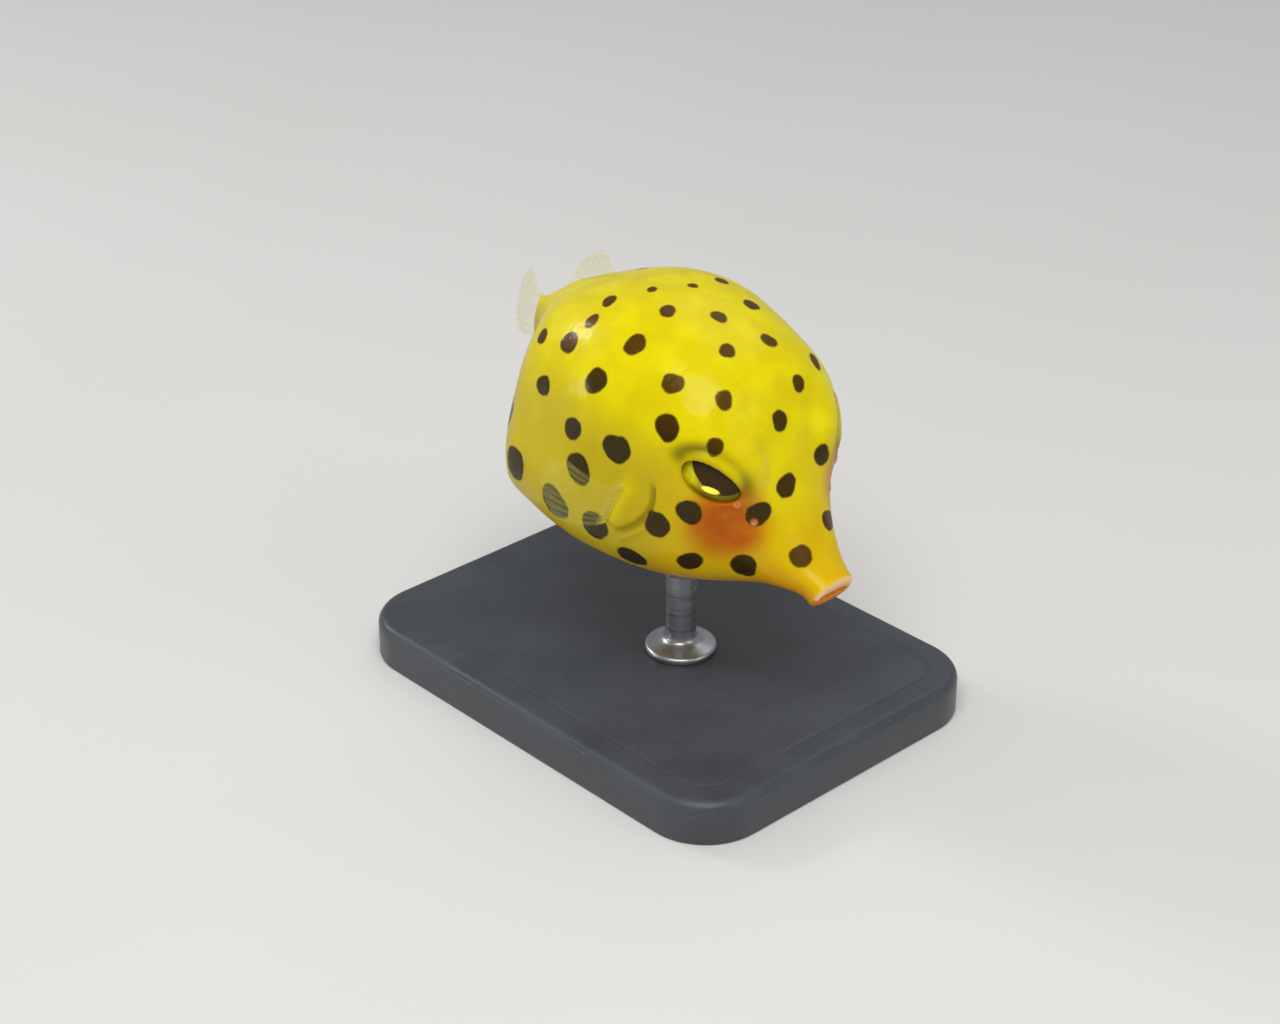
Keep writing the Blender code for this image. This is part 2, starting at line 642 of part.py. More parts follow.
def rod_profile():
    # Radius and height, from the top of the cup down its outer side to the foot.
    foot_radius, foot_height = ROD_FOOT
    cup_radius, cup_height = ROD_CUP
    bottom = BASE_SIZE[2] + GAP
    neck = ROD_TOP - cup_height - ROD_FLARE
    t = np.linspace(0, 1, 6)
    flare = [(ROD_RADIUS + (cup_radius - ROD_RADIUS) * (1 - s) ** 2, neck + (1 - s) * ROD_FLARE) for s in t]
    foot = [(ROD_RADIUS + (foot_radius - ROD_RADIUS) * s**3, bottom + foot_height * (1.5 - s)) for s in t]
    return [(0, ROD_TOP), (cup_radius, ROD_TOP)] + flare + foot + [(foot_radius, bottom), (0, bottom)]


def add_rod(parts, cutters, fish):
    # A turned rod whose cup is cut out to the shape of the belly.
    points = [(radius * MM, 0, height * MM) for radius, height in rod_profile()]
    mesh = bpy.data.meshes.new("stand_rod")
    mesh.from_pydata(points, [(i, i + 1) for i in range(len(points) - 1)], [])
    rod = add_object("stand_rod", mesh, parts)
    rod.location = (ROD_AT[0] * MM, ROD_AT[1] * MM, 0)
    turned = rod.modifiers.new("Turned", "SCREW")
    turned.steps = turned.render_steps = 24
    turned.use_merge_vertices = True
    turned.merge_threshold = 0.00001
    belly = loft_mesh("belly", body_rings(SNOUT_END, TRUNK_END, BELLY_RINGS, GAP))
    add_object("belly", belly, cutters, parent=fish)
    combine(rod, cutters, "DIFFERENCE")
    dress(rod, ROD_STEEL)
    smooth(rod)


def new_collection(name):
    collection = bpy.data.collections.new(name)
    bpy.context.scene.collection.children.link(collection)
    return collection


def hide_cutters(collection):
    for piece in collection.objects:
        piece.hide_render = True
        piece.display_type = "WIRE"


def build():
    for piece in list(bpy.data.objects):
        bpy.data.objects.remove(piece)
    parts = new_collection("yellow_boxfish")
    growths = new_collection("head_growths")
    head_cutters = new_collection("head_cutters")
    gill_cutters = new_collection("gill_cutters")
    rod_cutters = new_collection("rod_cutters")
    fish = bpy.data.objects.new("fish_pose", None)
    fish.location = Vector(FISH_AT) * MM
    fish.rotation_euler = (0, NOSE_DOWN, 0)
    parts.objects.link(fish)
    add_head(parts, growths, head_cutters, gill_cutters, fish)
    add_trunk(parts, gill_cutters, fish)
    add_tail_root(parts, fish)
    add_tail_fin(parts, fish)
    add_midline_fin("dorsal_fin", DORSAL_FIN, 1, parts, fish)
    add_midline_fin("anal_fin", ANAL_FIN, -1, parts, fish)
    for side, word in ((1, "left"), (-1, "right")):
        add_eye(side, "eye_" + word, parts, fish)
        add_side_fin(side, "pectoral_fin_" + word, parts, fish)
    add_lip("lip_upper", 1, LIP_PINK, parts, fish)
    add_lip("lip_lower", -1, LIP_ORANGE, parts, fish)
    add_base(parts)
    add_rod(parts, rod_cutters, fish)
    for collection in (head_cutters, gill_cutters, rod_cutters):
        hide_cutters(collection)


build()
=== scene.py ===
import math

import bpy
import numpy as np
from mathutils import Matrix


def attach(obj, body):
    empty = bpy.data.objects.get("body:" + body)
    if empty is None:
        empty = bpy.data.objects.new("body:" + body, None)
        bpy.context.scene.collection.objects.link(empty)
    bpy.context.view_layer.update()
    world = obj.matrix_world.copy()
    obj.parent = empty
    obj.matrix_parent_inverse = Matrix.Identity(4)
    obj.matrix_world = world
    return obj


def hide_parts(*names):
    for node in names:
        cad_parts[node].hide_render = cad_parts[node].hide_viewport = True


# A young yellow boxfish as a still museum model on a plain stand.
# Shapes are worked out in the fish's own frame, in millimetres: +X to the lips, +Y to its left,
# +Z up, origin in the middle of the bony case. toWorld tips it nose down over the stand.

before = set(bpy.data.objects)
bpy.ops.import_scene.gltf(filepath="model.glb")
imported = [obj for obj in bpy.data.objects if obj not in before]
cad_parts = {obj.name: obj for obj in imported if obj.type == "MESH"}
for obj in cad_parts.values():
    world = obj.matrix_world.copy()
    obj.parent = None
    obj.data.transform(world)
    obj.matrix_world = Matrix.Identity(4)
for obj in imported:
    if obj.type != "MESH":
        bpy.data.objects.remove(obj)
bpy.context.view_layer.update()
print("frame loaded:", len(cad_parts), "nodes")

mm = 0.001
pose = {"noseDown": math.radians(11.0), "at": (3.9, 0.0, 22.0)}


def toWorld(points):
    # turned about Y by the nose-down angle, lifted over the stand, and put in metres
    c, s = math.cos(pose["noseDown"]), math.sin(pose["noseDown"])
    x, y, z = points[..., 0], points[..., 1], points[..., 2]
    return (np.stack([x * c + z * s, y, z * c - x * s], axis=-1) + pose["at"]) * mm


# Curves and grids

def fairCurve(x, knots, values):
    # natural cubic spline: the bend at each knot from one linear system, none at the two ends
    knots, values = np.asarray(knots, float), np.asarray(values, float)
    steps = np.diff(knots)
    slopes = np.diff(values) / steps
    system, right = np.eye(len(knots)), np.zeros(len(knots))
    for i in range(1, len(knots) - 1):
        system[i, i - 1: i + 2] = steps[i - 1], 2 * (steps[i - 1] + steps[i]), steps[i]
        right[i] = 6 * (slopes[i] - slopes[i - 1])
    bend = np.linalg.solve(system, right)
    i = np.clip(np.searchsorted(knots, x) - 1, 0, len(knots) - 2)
    h = steps[i]
    a, b = (knots[i + 1] - x) / h, (x - knots[i]) / h
    return a * values[i] + b * values[i + 1] + ((a**3 - a) * bend[i] + (b**3 - b) * bend[i + 1]) * h * h / 6


def spread(start, end, count, knots, weights, samples=4000):
    # values that lie closest together where the weight is highest: inverse of its running sum
    fine = np.linspace(start, end, samples)
    total = np.cumsum(np.interp(fine, knots, weights))
    total = (total - total[0]) / (total[-1] - total[0])
    return np.interp(np.linspace(0, 1, count), total, fine)


def unit(vectors):
    # the same directions, each of length 1
    return vectors / np.maximum(np.linalg.norm(vectors, axis=-1, keepdims=True), 1e-9)


def bell(x, width):
    # 1 at zero, falling off on both sides as a Gaussian
    return np.exp(-((x / width) ** 2))


def ridge(x, place, width, height):
    # a bell at that place, or a groove where the height is negative
    return height * bell(x - place, width)


def ease(x, start, end):
    # 0 before start, 1 after end, smooth between
    t = np.clip((x - start) / (end - start), 0, 1)
    return t * t * (3 - 2 * t)


def gridNormals(rings):
    # cross product of the steps along the rings' axis and round them
    along = np.gradient(rings, axis=0)
    around = np.roll(rings, -1, axis=1) - np.roll(rings, 1, axis=1)
    return unit(np.cross(around, along))


def meshFrom(name, points, quads, triangles, attributes=None, uv=None):
    # a smooth-shaded mesh from whole arrays of points (in metres), quads and triangles
    mesh = bpy.data.meshes.new(name)
    corners = np.concatenate([np.ravel(quads), np.ravel(triangles)]).astype(np.int32)
    sizes = np.concatenate([np.full(len(quads), 4), np.full(len(triangles), 3)])
    mesh.vertices.add(len(points))
    mesh.vertices.foreach_set("co", np.ravel(points).astype(np.float32))
    mesh.loops.add(len(corners))
    mesh.loops.foreach_set("vertex_index", corners)
    mesh.polygons.add(len(sizes))
    mesh.polygons.foreach_set("loop_start", (np.cumsum(sizes) - sizes).astype(np.int32))
    mesh.polygons.foreach_set("use_smooth", np.ones(len(sizes), bool))
    mesh.update(calc_edges=True)
    for key, values in (attributes or {}).items():
        layer = mesh.attributes.new(key, "FLOAT", "POINT")
        layer.data.foreach_set("value", np.ravel(values).astype(np.float32))
    if uv is not None:
        layer = mesh.uv_layers.new(name="UVMap")
        layer.data.foreach_set("uv", np.ravel(uv[corners]).astype(np.float32))
    piece = bpy.data.objects.new(name, mesh)
    bpy.context.scene.collection.objects.link(piece)
    return piece


def gridQuads(rows, count, closed):
    # faces between neighbouring rows of points, all the way round where the rows are closed
    r = np.arange(rows - 1)[:, None] * count
    c = np.arange(count if closed else count - 1)[None, :]
    d = (c + 1) % count
    quads = np.broadcast_arrays(r + c, r + d, r + count + d, r + count + c)
    return np.stack(quads, axis=-1).reshape(-1, 4)


def tubePiece(name, rings, values=None, uv=None):
    # closed skin over rings of points: quads between them, a fan to a middle point at both ends;
    # the faces are turned round if the volume comes out negative
    rows, count = rings.shape[:2]
    flat = toWorld(rings).reshape(-1, 3)
    points = np.vstack([flat, flat[:count].mean(axis=0), flat[-count:].mean(axis=0)])
    quads = gridQuads(rows, count, True)
    c, last = np.arange(count), (rows - 1) * count
    d = (c + 1) % count
    first, final = np.full(count, rows * count), np.full(count, rows * count + 1)
    triangles = np.vstack([np.column_stack([first, d, c]), np.column_stack([final, last + c, last + d])])
    a, b, e = (points[quads[:, i]] - points[-1] for i in (0, 1, 2))
    if (a * np.cross(b, e)).sum() < 0:
        quads, triangles = quads[:, ::-1], triangles[:, ::-1]
    full = {}
    for key, field in (values or {}).items():
        full[key] = np.concatenate([field.ravel(), [field[0].mean(), field[-1].mean()]])
    if uv is not None:
        flatUv = uv.reshape(-1, 2)
        uv = np.vstack([flatUv, flatUv[:count].mean(axis=0), flatUv[-count:].mean(axis=0)])
    return meshFrom(name, points, quads, triangles, full, uv)


def finish(piece, material, slot, *replaced):
    # every piece rides on the one body and stands for its nodes; the slot's name is not used
    piece.data.materials.append(material)
    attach(piece, "root")
    if replaced:
        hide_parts(*replaced)


# Materials

def linear(red, green, blue):
    # a screen colour, 0 to 255, as the shader's linear values
    c = np.array([red, green, blue]) / 255
    return (*np.where(c <= 0.04045, c / 12.92, ((c + 0.055) / 1.055) ** 2.4).tolist(), 1.0)


def newMaterial(name, **settings):
    # a Principled material with its plain values set on the shader's own sockets, and its node tree
    material = bpy.data.materials.new(name)
    material.use_nodes = True
    tree = material.node_tree
    shader = tree.nodes["Principled BSDF"]
    for key, value in settings.items():
        shader.inputs[key.replace("_", " ")].default_value = value
    return material, tree, shader


def addNode(tree, kind, inputs=None, **settings):
    # a node, its settings, and its inputs by name or number: a value or another node's output
    node = tree.nodes.new(kind)
    for key, value in settings.items():
        setattr(node, key, value)
    for key, value in (inputs or {}).items():
        if isinstance(value, bpy.types.NodeSocket):
            tree.links.new(value, node.inputs[key])
        else:
            node.inputs[key].default_value = value
    return node


def wire(tree, shader, **outputs):
    # outputs joined to the shader's sockets of those names
    for key, output in outputs.items():
        tree.links.new(output, shader.inputs[key.replace("_", " ")])


def attribute(tree, name):
    # a value stored on the mesh's points
    return addNode(tree, "ShaderNodeAttribute", attribute_name=name).outputs["Fac"]


def placeOf(tree):
    # Object coordinates in millimetres
    where = addNode(tree, "ShaderNodeTexCoord").outputs["Object"]
    return addNode(tree, "ShaderNodeMapping", {"Vector": where, "Scale": (1000, 1000, 1000)}).outputs[0]


def noise(tree, scale, detail=3.0, where=None):
    # fractal noise in Object coordinates, or in the ones it is given
    inputs = {"Vector": where or placeOf(tree), "Scale": scale, "Detail": detail}
    return addNode(tree, "ShaderNodeTexNoise", inputs).outputs["Fac"]


def mix(tree, share, first, second):
    # from the first colour to the second by the share; a plain colour is given as on a screen
    first, second = (linear(*c) if isinstance(c, tuple) else c for c in (first, second))
    return addNode(tree, "ShaderNodeMix", {0: share, 6: first, 7: second}, data_type="RGBA").outputs[2]


def ramp(tree, value, start, end, low=0.0, high=1.0):
    # smooth step from low to high as the value goes from start to end
    inputs = {"Value": value, "From Min": start, "From Max": end, "To Min": low, "To Max": high}
    return addNode(tree, "ShaderNodeMapRange", inputs, interpolation_type="SMOOTHSTEP").outputs[0]


def maths(tree, operation, first, second):
    # the result of one operation on two values
    return addNode(tree, "ShaderNodeMath", {0: first, 1: second}, operation=operation).outputs[0]


def bump(tree, height, strength, distance, under=None):
    # the height as a bump, its distance in mm, on top of another bump if there is one
    inputs = {"Height": height, "Strength": strength, "Distance": distance * mm}
    if under is not None:
        inputs["Normal"] = under
    return addNode(tree, "ShaderNodeBump", inputs).outputs[0]


# The body's shape

body = {
    "station": 14.0,  # x of a station near the lips, from which places are measured back
    # back, half width, top, bottom
    "sections": ((-0.9, 2.0, -2.9, -5.6), (0.1, 2.05, -2.5, -5.1), (1.9, 2.95, -1.4, -5.1),
                 (4.6, 4.45, 3.0, -6.2), (7.6, 7.5, 8.1, -7.5), (11.8, 9.5, 10.5, -8.9),
                 (16.8, 10.5, 11.3, -9.5), (22.4, 9.85, 10.0, -9.0), (26.0, 8.1, 7.9, -7.7),
                 (28.0, 5.2, 6.6, -5.6), (29.2, 3.2, 5.7, -3.8), (30.0, 2.0, 4.8, -2.0)),
    # back, power of the back and of the belly, lean and hollow of the flanks, drop and rise of the ridges
    "squareness": ((3.4, 2.5, 2.5, 0.02, 0.02, 0.04, 0.04), (8.4, 2.95, 2.85, 0.045, 0.035, 0.11, 0.09),
                   (15.4, 2.75, 3.2, 0.075, 0.07, 0.15, 0.13), (24.0, 3.2, 3.5, 0.17, 0.04, 0.12, 0.10),
                   (30.0, 2.2, 2.2, 0.02, 0.0, 0.02, 0.02)),
    "end": 30.0,
    "mouthHeight": -4.25,
    "lean": (0.2, 0.3, 3.0),  # of the lips' sections: where it starts to fade, slope, length of the fade
}


def bodyPoint(back, turn):
    # superellipse sections on splines along the body, whose flanks lean in and whose ridges are rounded
    # off; the turn goes from the left flank over the back
    back, turn = np.broadcast_arrays(np.asarray(back, float), np.asarray(turn, float))
    table, shape = np.array(body["sections"]), np.array(body["squareness"])
    half, top, bottom = (fairCurve(back, table[:, 0], table[:, i]) for i in (1, 2, 3))
    columns = (np.interp(back, shape[:, 0], shape[:, i]) for i in range(1, 7))
    backPower, bellyPower, lean, hollow, drop, rise = columns
    across, up = np.cos(turn), np.sin(turn)
    power = np.where(up > 0, backPower, bellyPower)
    reach = (np.abs(across) ** power + np.abs(up) ** power) ** (-1 / power)
    across, up = across * reach, up * reach
    y = half * across * (1 - lean * up) * (1 - hollow * (1 - up**2))
    z = (top + bottom) / 2 + (top - bottom) / 2 * up * (1 - np.where(up > 0, drop, rise) * across**2)
    start, slope, fade = body["lean"]
    slant = slope * np.clip(1 - (back - start) / fade, 0, 1) ** 2
    return np.stack([body["station"] - back + slant * (z - body["mouthHeight"]), y, z], axis=-1)


def bodyNormal(back, turn, step=0.02):
    # cross product of small steps round the body and along it
    along = bodyPoint(back - step, turn) - bodyPoint(back + step, turn)
    around = bodyPoint(back, turn + step) - bodyPoint(back, turn - step)
    return unit(np.cross(around, along))


def turnAtHeight(back, height):
    # turn on the left flank where the skin has that height, from a fine row of turns
    turns = np.linspace(-1.4, 1.4, 561)
    return float(np.interp(height, bodyPoint(back, turns)[:, 2], turns))


# The eyes' shape

eye = {
    "centre": (6.0, 4.85, 3.24), "radius": 2.9, "bulge": 1.5,
    "forward": math.radians(37.5), "upward": math.radians(8),  # where it looks
    "lid": 0.65,  # skin over the ball, with the gap under it
    "blend": 7.0,  # power of the mean that blends the swell into the body
    "reach": (0.7, 1.2),  # the swell's share at the eye's middle, and its growth outwards
    "slope": math.radians(24),  # of the opening's long axis
    "opening": (2.36, 1.04, 1.5),  # half its length, its rise over the middle and its drop below it
    # how the skin turns over the opening's edge into the socket: place, new place, depth
    "margin": ((0.0, 0.0, 1.9), (0.5, 0.72, 1.6), (0.74, 1.03, 0.95), (0.84, 1.03, 0.42), (0.91, 1.0, 0.14),
               (0.98, 1.0, 0.03), (1.07, 1.035, 0.0), (1.25, 1.22, 0.0), (1.5, 1.5, 0.0)),
}


def eyeFrame(side):
    # middle of the eye, and the directions along the lid's edge, up from it and out of the eye
    f, u = eye["forward"], eye["upward"]
    out = np.array([math.sin(f) * math.cos(u), math.cos(f) * math.cos(u), math.sin(u)])
    level = np.array([math.cos(f), -math.sin(f), 0])
    up = np.cross(level, out)
    along = level * math.cos(eye["slope"]) - up * math.sin(eye["slope"])
    rise = level * math.sin(eye["slope"]) + up * math.cos(eye["slope"])
    mirror = np.array([1, side, 1])
    return np.array(eye["centre"]) * mirror, np.array([along, rise, out]) * mirror


def swellRoundEyes(rings):
    # the skin pushed out round each eye to a flattened ball, blended by a power mean
    radii = np.array([eye["radius"], eye["radius"], eye["bulge"]]) + eye["lid"]
    for side in (1, -1):
        centre, axes = eyeFrame(side)
        away = rings - centre
        local = away @ axes.T / radii
        distance = np.maximum(np.linalg.norm(local, axis=-1, keepdims=True), 1e-6)
        swollen = (distance ** eye["blend"] + 1) ** (1 / eye["blend"])
        outside = ease(eye["reach"][0] + eye["reach"][1] * local[..., 2:], 0, 1)
        rings = centre + away * (1 + (swollen / distance - 1) * outside)
    return rings


def openingGauge(e, f):
    # 1 on the edge of the eye's opening: an oval that drops further below its middle than it rises above
    half, rise, drop = eye["opening"]
    return np.hypot(e / half, f / np.where(f > 0, rise, drop))


def eyePlaces(points, side):
    # places along the opening, up it and out of the eye
    centre, axes = eyeFrame(side)
    local = (points - centre) @ axes.T
    return local[..., 0], local[..., 1], local[..., 2]


def openEyes(rings):
    # inside the opening the skin turns over the lid's edge and lines the socket behind the ball: splines
    # over the opening's gauge shift each point inwards over the eye's dome, and down from it
    places, moved, depths = (np.array(column) for column in zip(*eye["margin"]))
    size = np.array([eye["radius"] + eye["lid"], eye["bulge"] + eye["lid"]])
    for side in (1, -1):
        centre, axes = eyeFrame(side)
        e, f, g = eyePlaces(rings, side)
        gauge = openingGauge(e, f)
        near = (gauge < places[-1]) & (g > 0)
        share = np.where(near, fairCurve(gauge, places, moved) / np.maximum(gauge, 1e-6), 1)
        dome, newDome = (size[1] * np.sqrt(np.maximum(1 - (e * e + f * f) * k * k / size[0] ** 2, 0.02))
                         for k in (1, share))
        newG = g + np.where(near, newDome - dome - fairCurve(gauge, places, depths), 0)
        rings = centre + np.stack([e * share, f * share, newG], axis=-1) @ axes
    return rings


# The skin, from inside the mouth over the lips and the body to the root of the tail fin

skin = {
    "around": 288, "bodyRings": 284, "mouthRings": 14, "lipSteps": 20, "rootRings": 26,
    # degrees round the body where points lie closest: middles of the two stretches, half their length
    # without and with the fade, and the closeness elsewhere and there
    "fineTurns": (8.5, 171.5), "fineHalf": (38.5, 56.0), "closeness": (0.75, 1.5),
    # the body's rings: places back from the lips, and how close they lie there
    "ringPlaces": (0, 1.5, 3, 11.5, 14, 30), "ringCloseness": (1.3, 1.2, 1.9, 1.9, 1.0, 0.9),
    "lipBack": -0.5, "mouthHalf": (1.32, 0.02), "lipForward": 0.36,
    # ovals inside the mouth: depth, half width, half height
    "mouth": ((1.7, 0.05, 0.05), (1.6, 0.5, 0.22), (1.25, 0.95, 0.4), (0.8, 1.2, 0.26), (0.4, 1.3, 0.06)),
    # ovals of the tail root: back, half width, top, bottom
    "tailRoot": ((30.06, 1.86, 4.56, -1.78), (29.95, 1.76, 4.44, -1.66), (30.1, 1.7, 4.4, -1.6),
                 (30.6, 1.55, 4.22, -1.52), (31.1, 1.24, 3.72, -1.34), (31.6, 0.94, 3.2, -1.14),
                 (32.1, 0.74, 2.86, -1.02), (32.3, 0.55, 2.72, -0.95), (32.36, 0.2, 2.1, -0.5)),
    # where the eyes' swell and the relief come in behind the lips, and where both end at the tail root
    "swellFrom": (0.5, 1.8), "reliefFrom": (0.4, 1.2), "bothTo": (29.5, 28.5),
    # in rings from the lips' outer edge: how far back there are no spots, and how far in the colours of the
    # lips and of the mouth come in
    "spotless": 3, "lipFade": (0, 6), "mouthFade": (18, 21),
    "lipParting": (-0.25, 0.15),  # from the lower lip's colour to the upper one's, as the sine of the turn
}


def skinTurns():
    # turns from the belly's midline round and back to it, closest at the eyes and gills
    whole, faded = skin["fineHalf"]
    plain, fine = skin["closeness"]
    knots, weights = [-90.0], [plain]
    for turn in skin["fineTurns"]:
        knots += [turn - faded, turn - whole, turn + whole, turn + faded]
        weights += [plain, fine, fine, plain]
    knots, weights = knots + [270.0], weights + [plain]
    return np.radians(spread(-90, 270, skin["around"] + 1, knots, weights)[:-1])


def mouthRing(depth, wide, high, turns):
    # an oval in the leaning plane of the lips, or behind it
    x = body["station"] - skin["lipBack"] - depth + body["lean"][1] * high * np.sin(turns)
    return np.stack([x, wide * np.cos(turns), body["mouthHeight"] + high * np.sin(turns)], axis=-1)


def lipRings(turns):
    # half an oval in section, from the outer rim over the front of the lips to the line of the mouth;
    # the rows run from the mouth outwards
    outer = bodyPoint(skin["lipBack"], turns)
    wide, high = skin["mouthHalf"]
    inner = mouthRing(0, wide, high, turns)
    t = np.linspace(np.pi, 0, skin["lipSteps"] + 1)[:-1, None, None]
    forward = skin["lipForward"] * np.sin(t)
    return outer + (inner - outer) * (1 - np.cos(t)) / 2 + forward * np.array([1, 0, 0])


def mouthRings(turns):
    # the pocket behind the lips: ovals between the listed ones, from its end outwards
    knots = np.arange(len(skin["mouth"]))
    fine = np.linspace(0, knots[-1], skin["mouthRings"])[:, None]
    depth, wide, high = (np.interp(fine, knots, column) for column in zip(*skin["mouth"]))
    return mouthRing(depth, wide, high, turns)


def tailRootRings(turns):
    # ovals on splines through the listed ones, from the end of the body to the closed end of the root
    knots = np.arange(len(skin["tailRoot"]))
    fine = np.linspace(0, knots[-1], skin["rootRings"])[:, None]
    back, half, top, bottom = (fairCurve(fine, knots, column) for column in zip(*skin["tailRoot"]))
    z = (top + bottom) / 2 + (top - bottom) / 2 * np.sin(turns)
    return np.stack([body["station"] - back + 0 * turns, half * np.cos(turns), z], axis=-1)


relief = {
    # the gill slit: back and height of its route, where it comes in from its top and bottom end as a share
    # of it, and the distance at which it fades; then place across it, width and height of each form
    "gill": {"route": ((10.35, 2.3), (10.05, 0.9), (10.2, -0.6), (10.9, -1.9), (11.9, -3.0), (12.7, -3.8)),
             "top": (0.0, 0.16), "bottom": (1.0, 0.8), "near": (1.6, 0.9),
             # the shade is painted shade along the slit
             "slit": (0.02, 0.24, -0.28), "crest": (-0.42, 0.36, 0.13), "shade": (0.0, 0.26, 0.6)},
    # the pad that the side fin grows from
    "lobe": {"route": ((11.95, 1.1), (12.85, -2.95)), "near": (1.9, 1.2), "width": 0.62, "height": 0.45,
             "shade": 0.8},
    # back and turn of each nostril; then distance, width and height of its rim and pit
    "nostril": {"at": ((5.72, 29.0), (4.46, 28.8)), "rim": (0.17, 0.09, 0.09), "pit": (0.0, 0.1, -0.2),
                "shade": (0.1, 0.15, 1.0)},
    # round the eye, in the plane of its opening: middle of the oval fold and its half length and height
    "lid": {"fold": (-0.22, 0.05, 2.8, 1.9),
            "upper": (-0.7, 0.3), "front": 0.2,  # how far up and how far out of the eye these forms start
            # distance from the fold, width and height
            "swell": (-0.45, 0.4, 0.08), "groove": (0.0, 0.24, -0.1), "brow": (0.45, 0.4, 0.03),
            # the fold's painted shade, which is weakest over the middle, and a faint line of painted shade
            # above the opening
            "shade": (0.03, 0.38, 0.85), "middle": 0.2, "ends": (0.8, 2.3), "least": 0.45,
            "line": (1.12, 0.2, 0.4),
            # painted shade at the opening's edge, on the lower lid and at the front corner, darker towards
            # the front
            "edge": (1.22, 0.96), "lower": (0.2, -0.4), "corner": (1.6, 2.4),
            "darker": (-1.0, 1.5), "edgeShades": (0.55, 0.4)},
}


def routeField(points, route, side):
    # for a route on the flank: each point's distance across it (+ towards the tail), share along it, and
    # distance from it without a sign
    knots = np.linspace(0, 1, len(route))
    t = np.linspace(0, 1, 60)
    back, height = (fairCurve(t, knots, column) for column in zip(*route))
    turn = np.array([turnAtHeight(b, z) for b, z in zip(back, height)])
    line = bodyPoint(back, turn)
    ahead = unit(np.gradient(line, axis=0))
    across = unit(np.cross(ahead, bodyNormal(back, turn)))
    across *= np.sign(-across[:, :1])
    line, across = line * (1, side, 1), across * (1, side, 1)
    best, distance = np.zeros(points.shape[:-1], int), np.full(points.shape[:-1], 1e9)
    for i in range(len(line)):
        away = np.linalg.norm(points - line[i], axis=-1)
        closer = away < distance
        distance, best = np.where(closer, away, distance), np.where(closer, i, best)
    sign = np.sign(((points - line[best]) * across[best]).sum(axis=-1))
    return distance * sign, t[best], distance


def gillRelief(points, side):
    # a slit with a crest in front of it: bells across the gill's route, faded out at its ends
    gill = relief["gill"]
    across, along, distance = routeField(points, gill["route"], side)
    whole = ease(along, *gill["top"]) * ease(along, *gill["bottom"]) * ease(distance, *gill["near"])
    height = (ridge(across, *gill["slit"]) + ridge(across, *gill["crest"])) * whole
    # painted shade in the slit
    return height, {"creaseShade": ridge(across, *gill["shade"]) * whole}


def lobeRelief(points, side):
    # a pad: a bell across its line, squared off along it by an even power
    lobe = relief["lobe"]
    across, along, distance = routeField(points, lobe["route"], side)
    pad = bell(across, lobe["width"]) * np.exp(-((2 * along - 1) ** 6)) * ease(distance, *lobe["near"])
    return lobe["height"] * pad, {"lobe": lobe["shade"] * pad}


def nostrilRelief(points, side):
    # round pits with a raised rim: bells of the distance from their middles
    nostril = relief["nostril"]
    height, shade = 0.0, 0.0
    for back, degrees in nostril["at"]:
        middle = swellRoundEyes(bodyPoint(back, math.radians(degrees))) * (1, side, 1)
        away = np.linalg.norm(points - middle, axis=-1)
        height = height + ridge(away, *nostril["rim"]) + ridge(away, *nostril["pit"])
        shade = np.maximum(shade, ridge(away, *nostril["shade"]))
    return height, {"nostril": shade}


def lidRelief(points, side):
    # the fold over the upper lid: bells of the distance from an oval, a groove between two swellings
    lid = relief["lid"]
    e, f, g = eyePlaces(points, side)
    middleE, middleF, long, high = lid["fold"]
    oval = (np.hypot((e - middleE) / long, (f - middleF) / high) - 1) * high
    front = g > lid["front"]
    upper = ease(f, *lid["upper"]) * front
    height = ridge(oval, *lid["swell"]) + ridge(oval, *lid["groove"]) * upper + ridge(oval, *lid["brow"])
    ends = lid["least"] + (1 - lid["least"]) * ease(np.abs(e - lid["middle"]), *lid["ends"])
    gauge = openingGauge(e, f)
    # painted shade in the fold and along a line above the opening
    creaseShade = np.maximum(ends * ridge(oval, *lid["shade"]), ridge(gauge, *lid["line"])) * upper
    # painted shade round the opening's edge
    rim = ease(gauge, *lid["edge"]) * front * np.maximum(ease(f, *lid["lower"]), ease(e, *lid["corner"]))
    plain, more = lid["edgeShades"]
    return height * upper, {"creaseShade": creaseShade, "rim": rim * (plain + more * ease(e, *lid["darker"]))}


def skinRelief(points):
    # heights along the skin's normal, in mm, summed over both sides, and the masks that colour these forms:
    # painted shade in the creases and round the eyes' openings, and the lobe and nostrils
    height = np.zeros(points.shape[:-1])
    masks = {key: 0 * height for key in ("creaseShade", "rim", "lobe", "nostril")}
    for side in (1, -1):
        for form in (gillRelief, lobeRelief, nostrilRelief, lidRelief):
            rise, shades = form(points, side)
            height += rise
            for key, shade in shades.items():
                masks[key] = np.maximum(masks[key], shade)
    return height, masks


# The markings

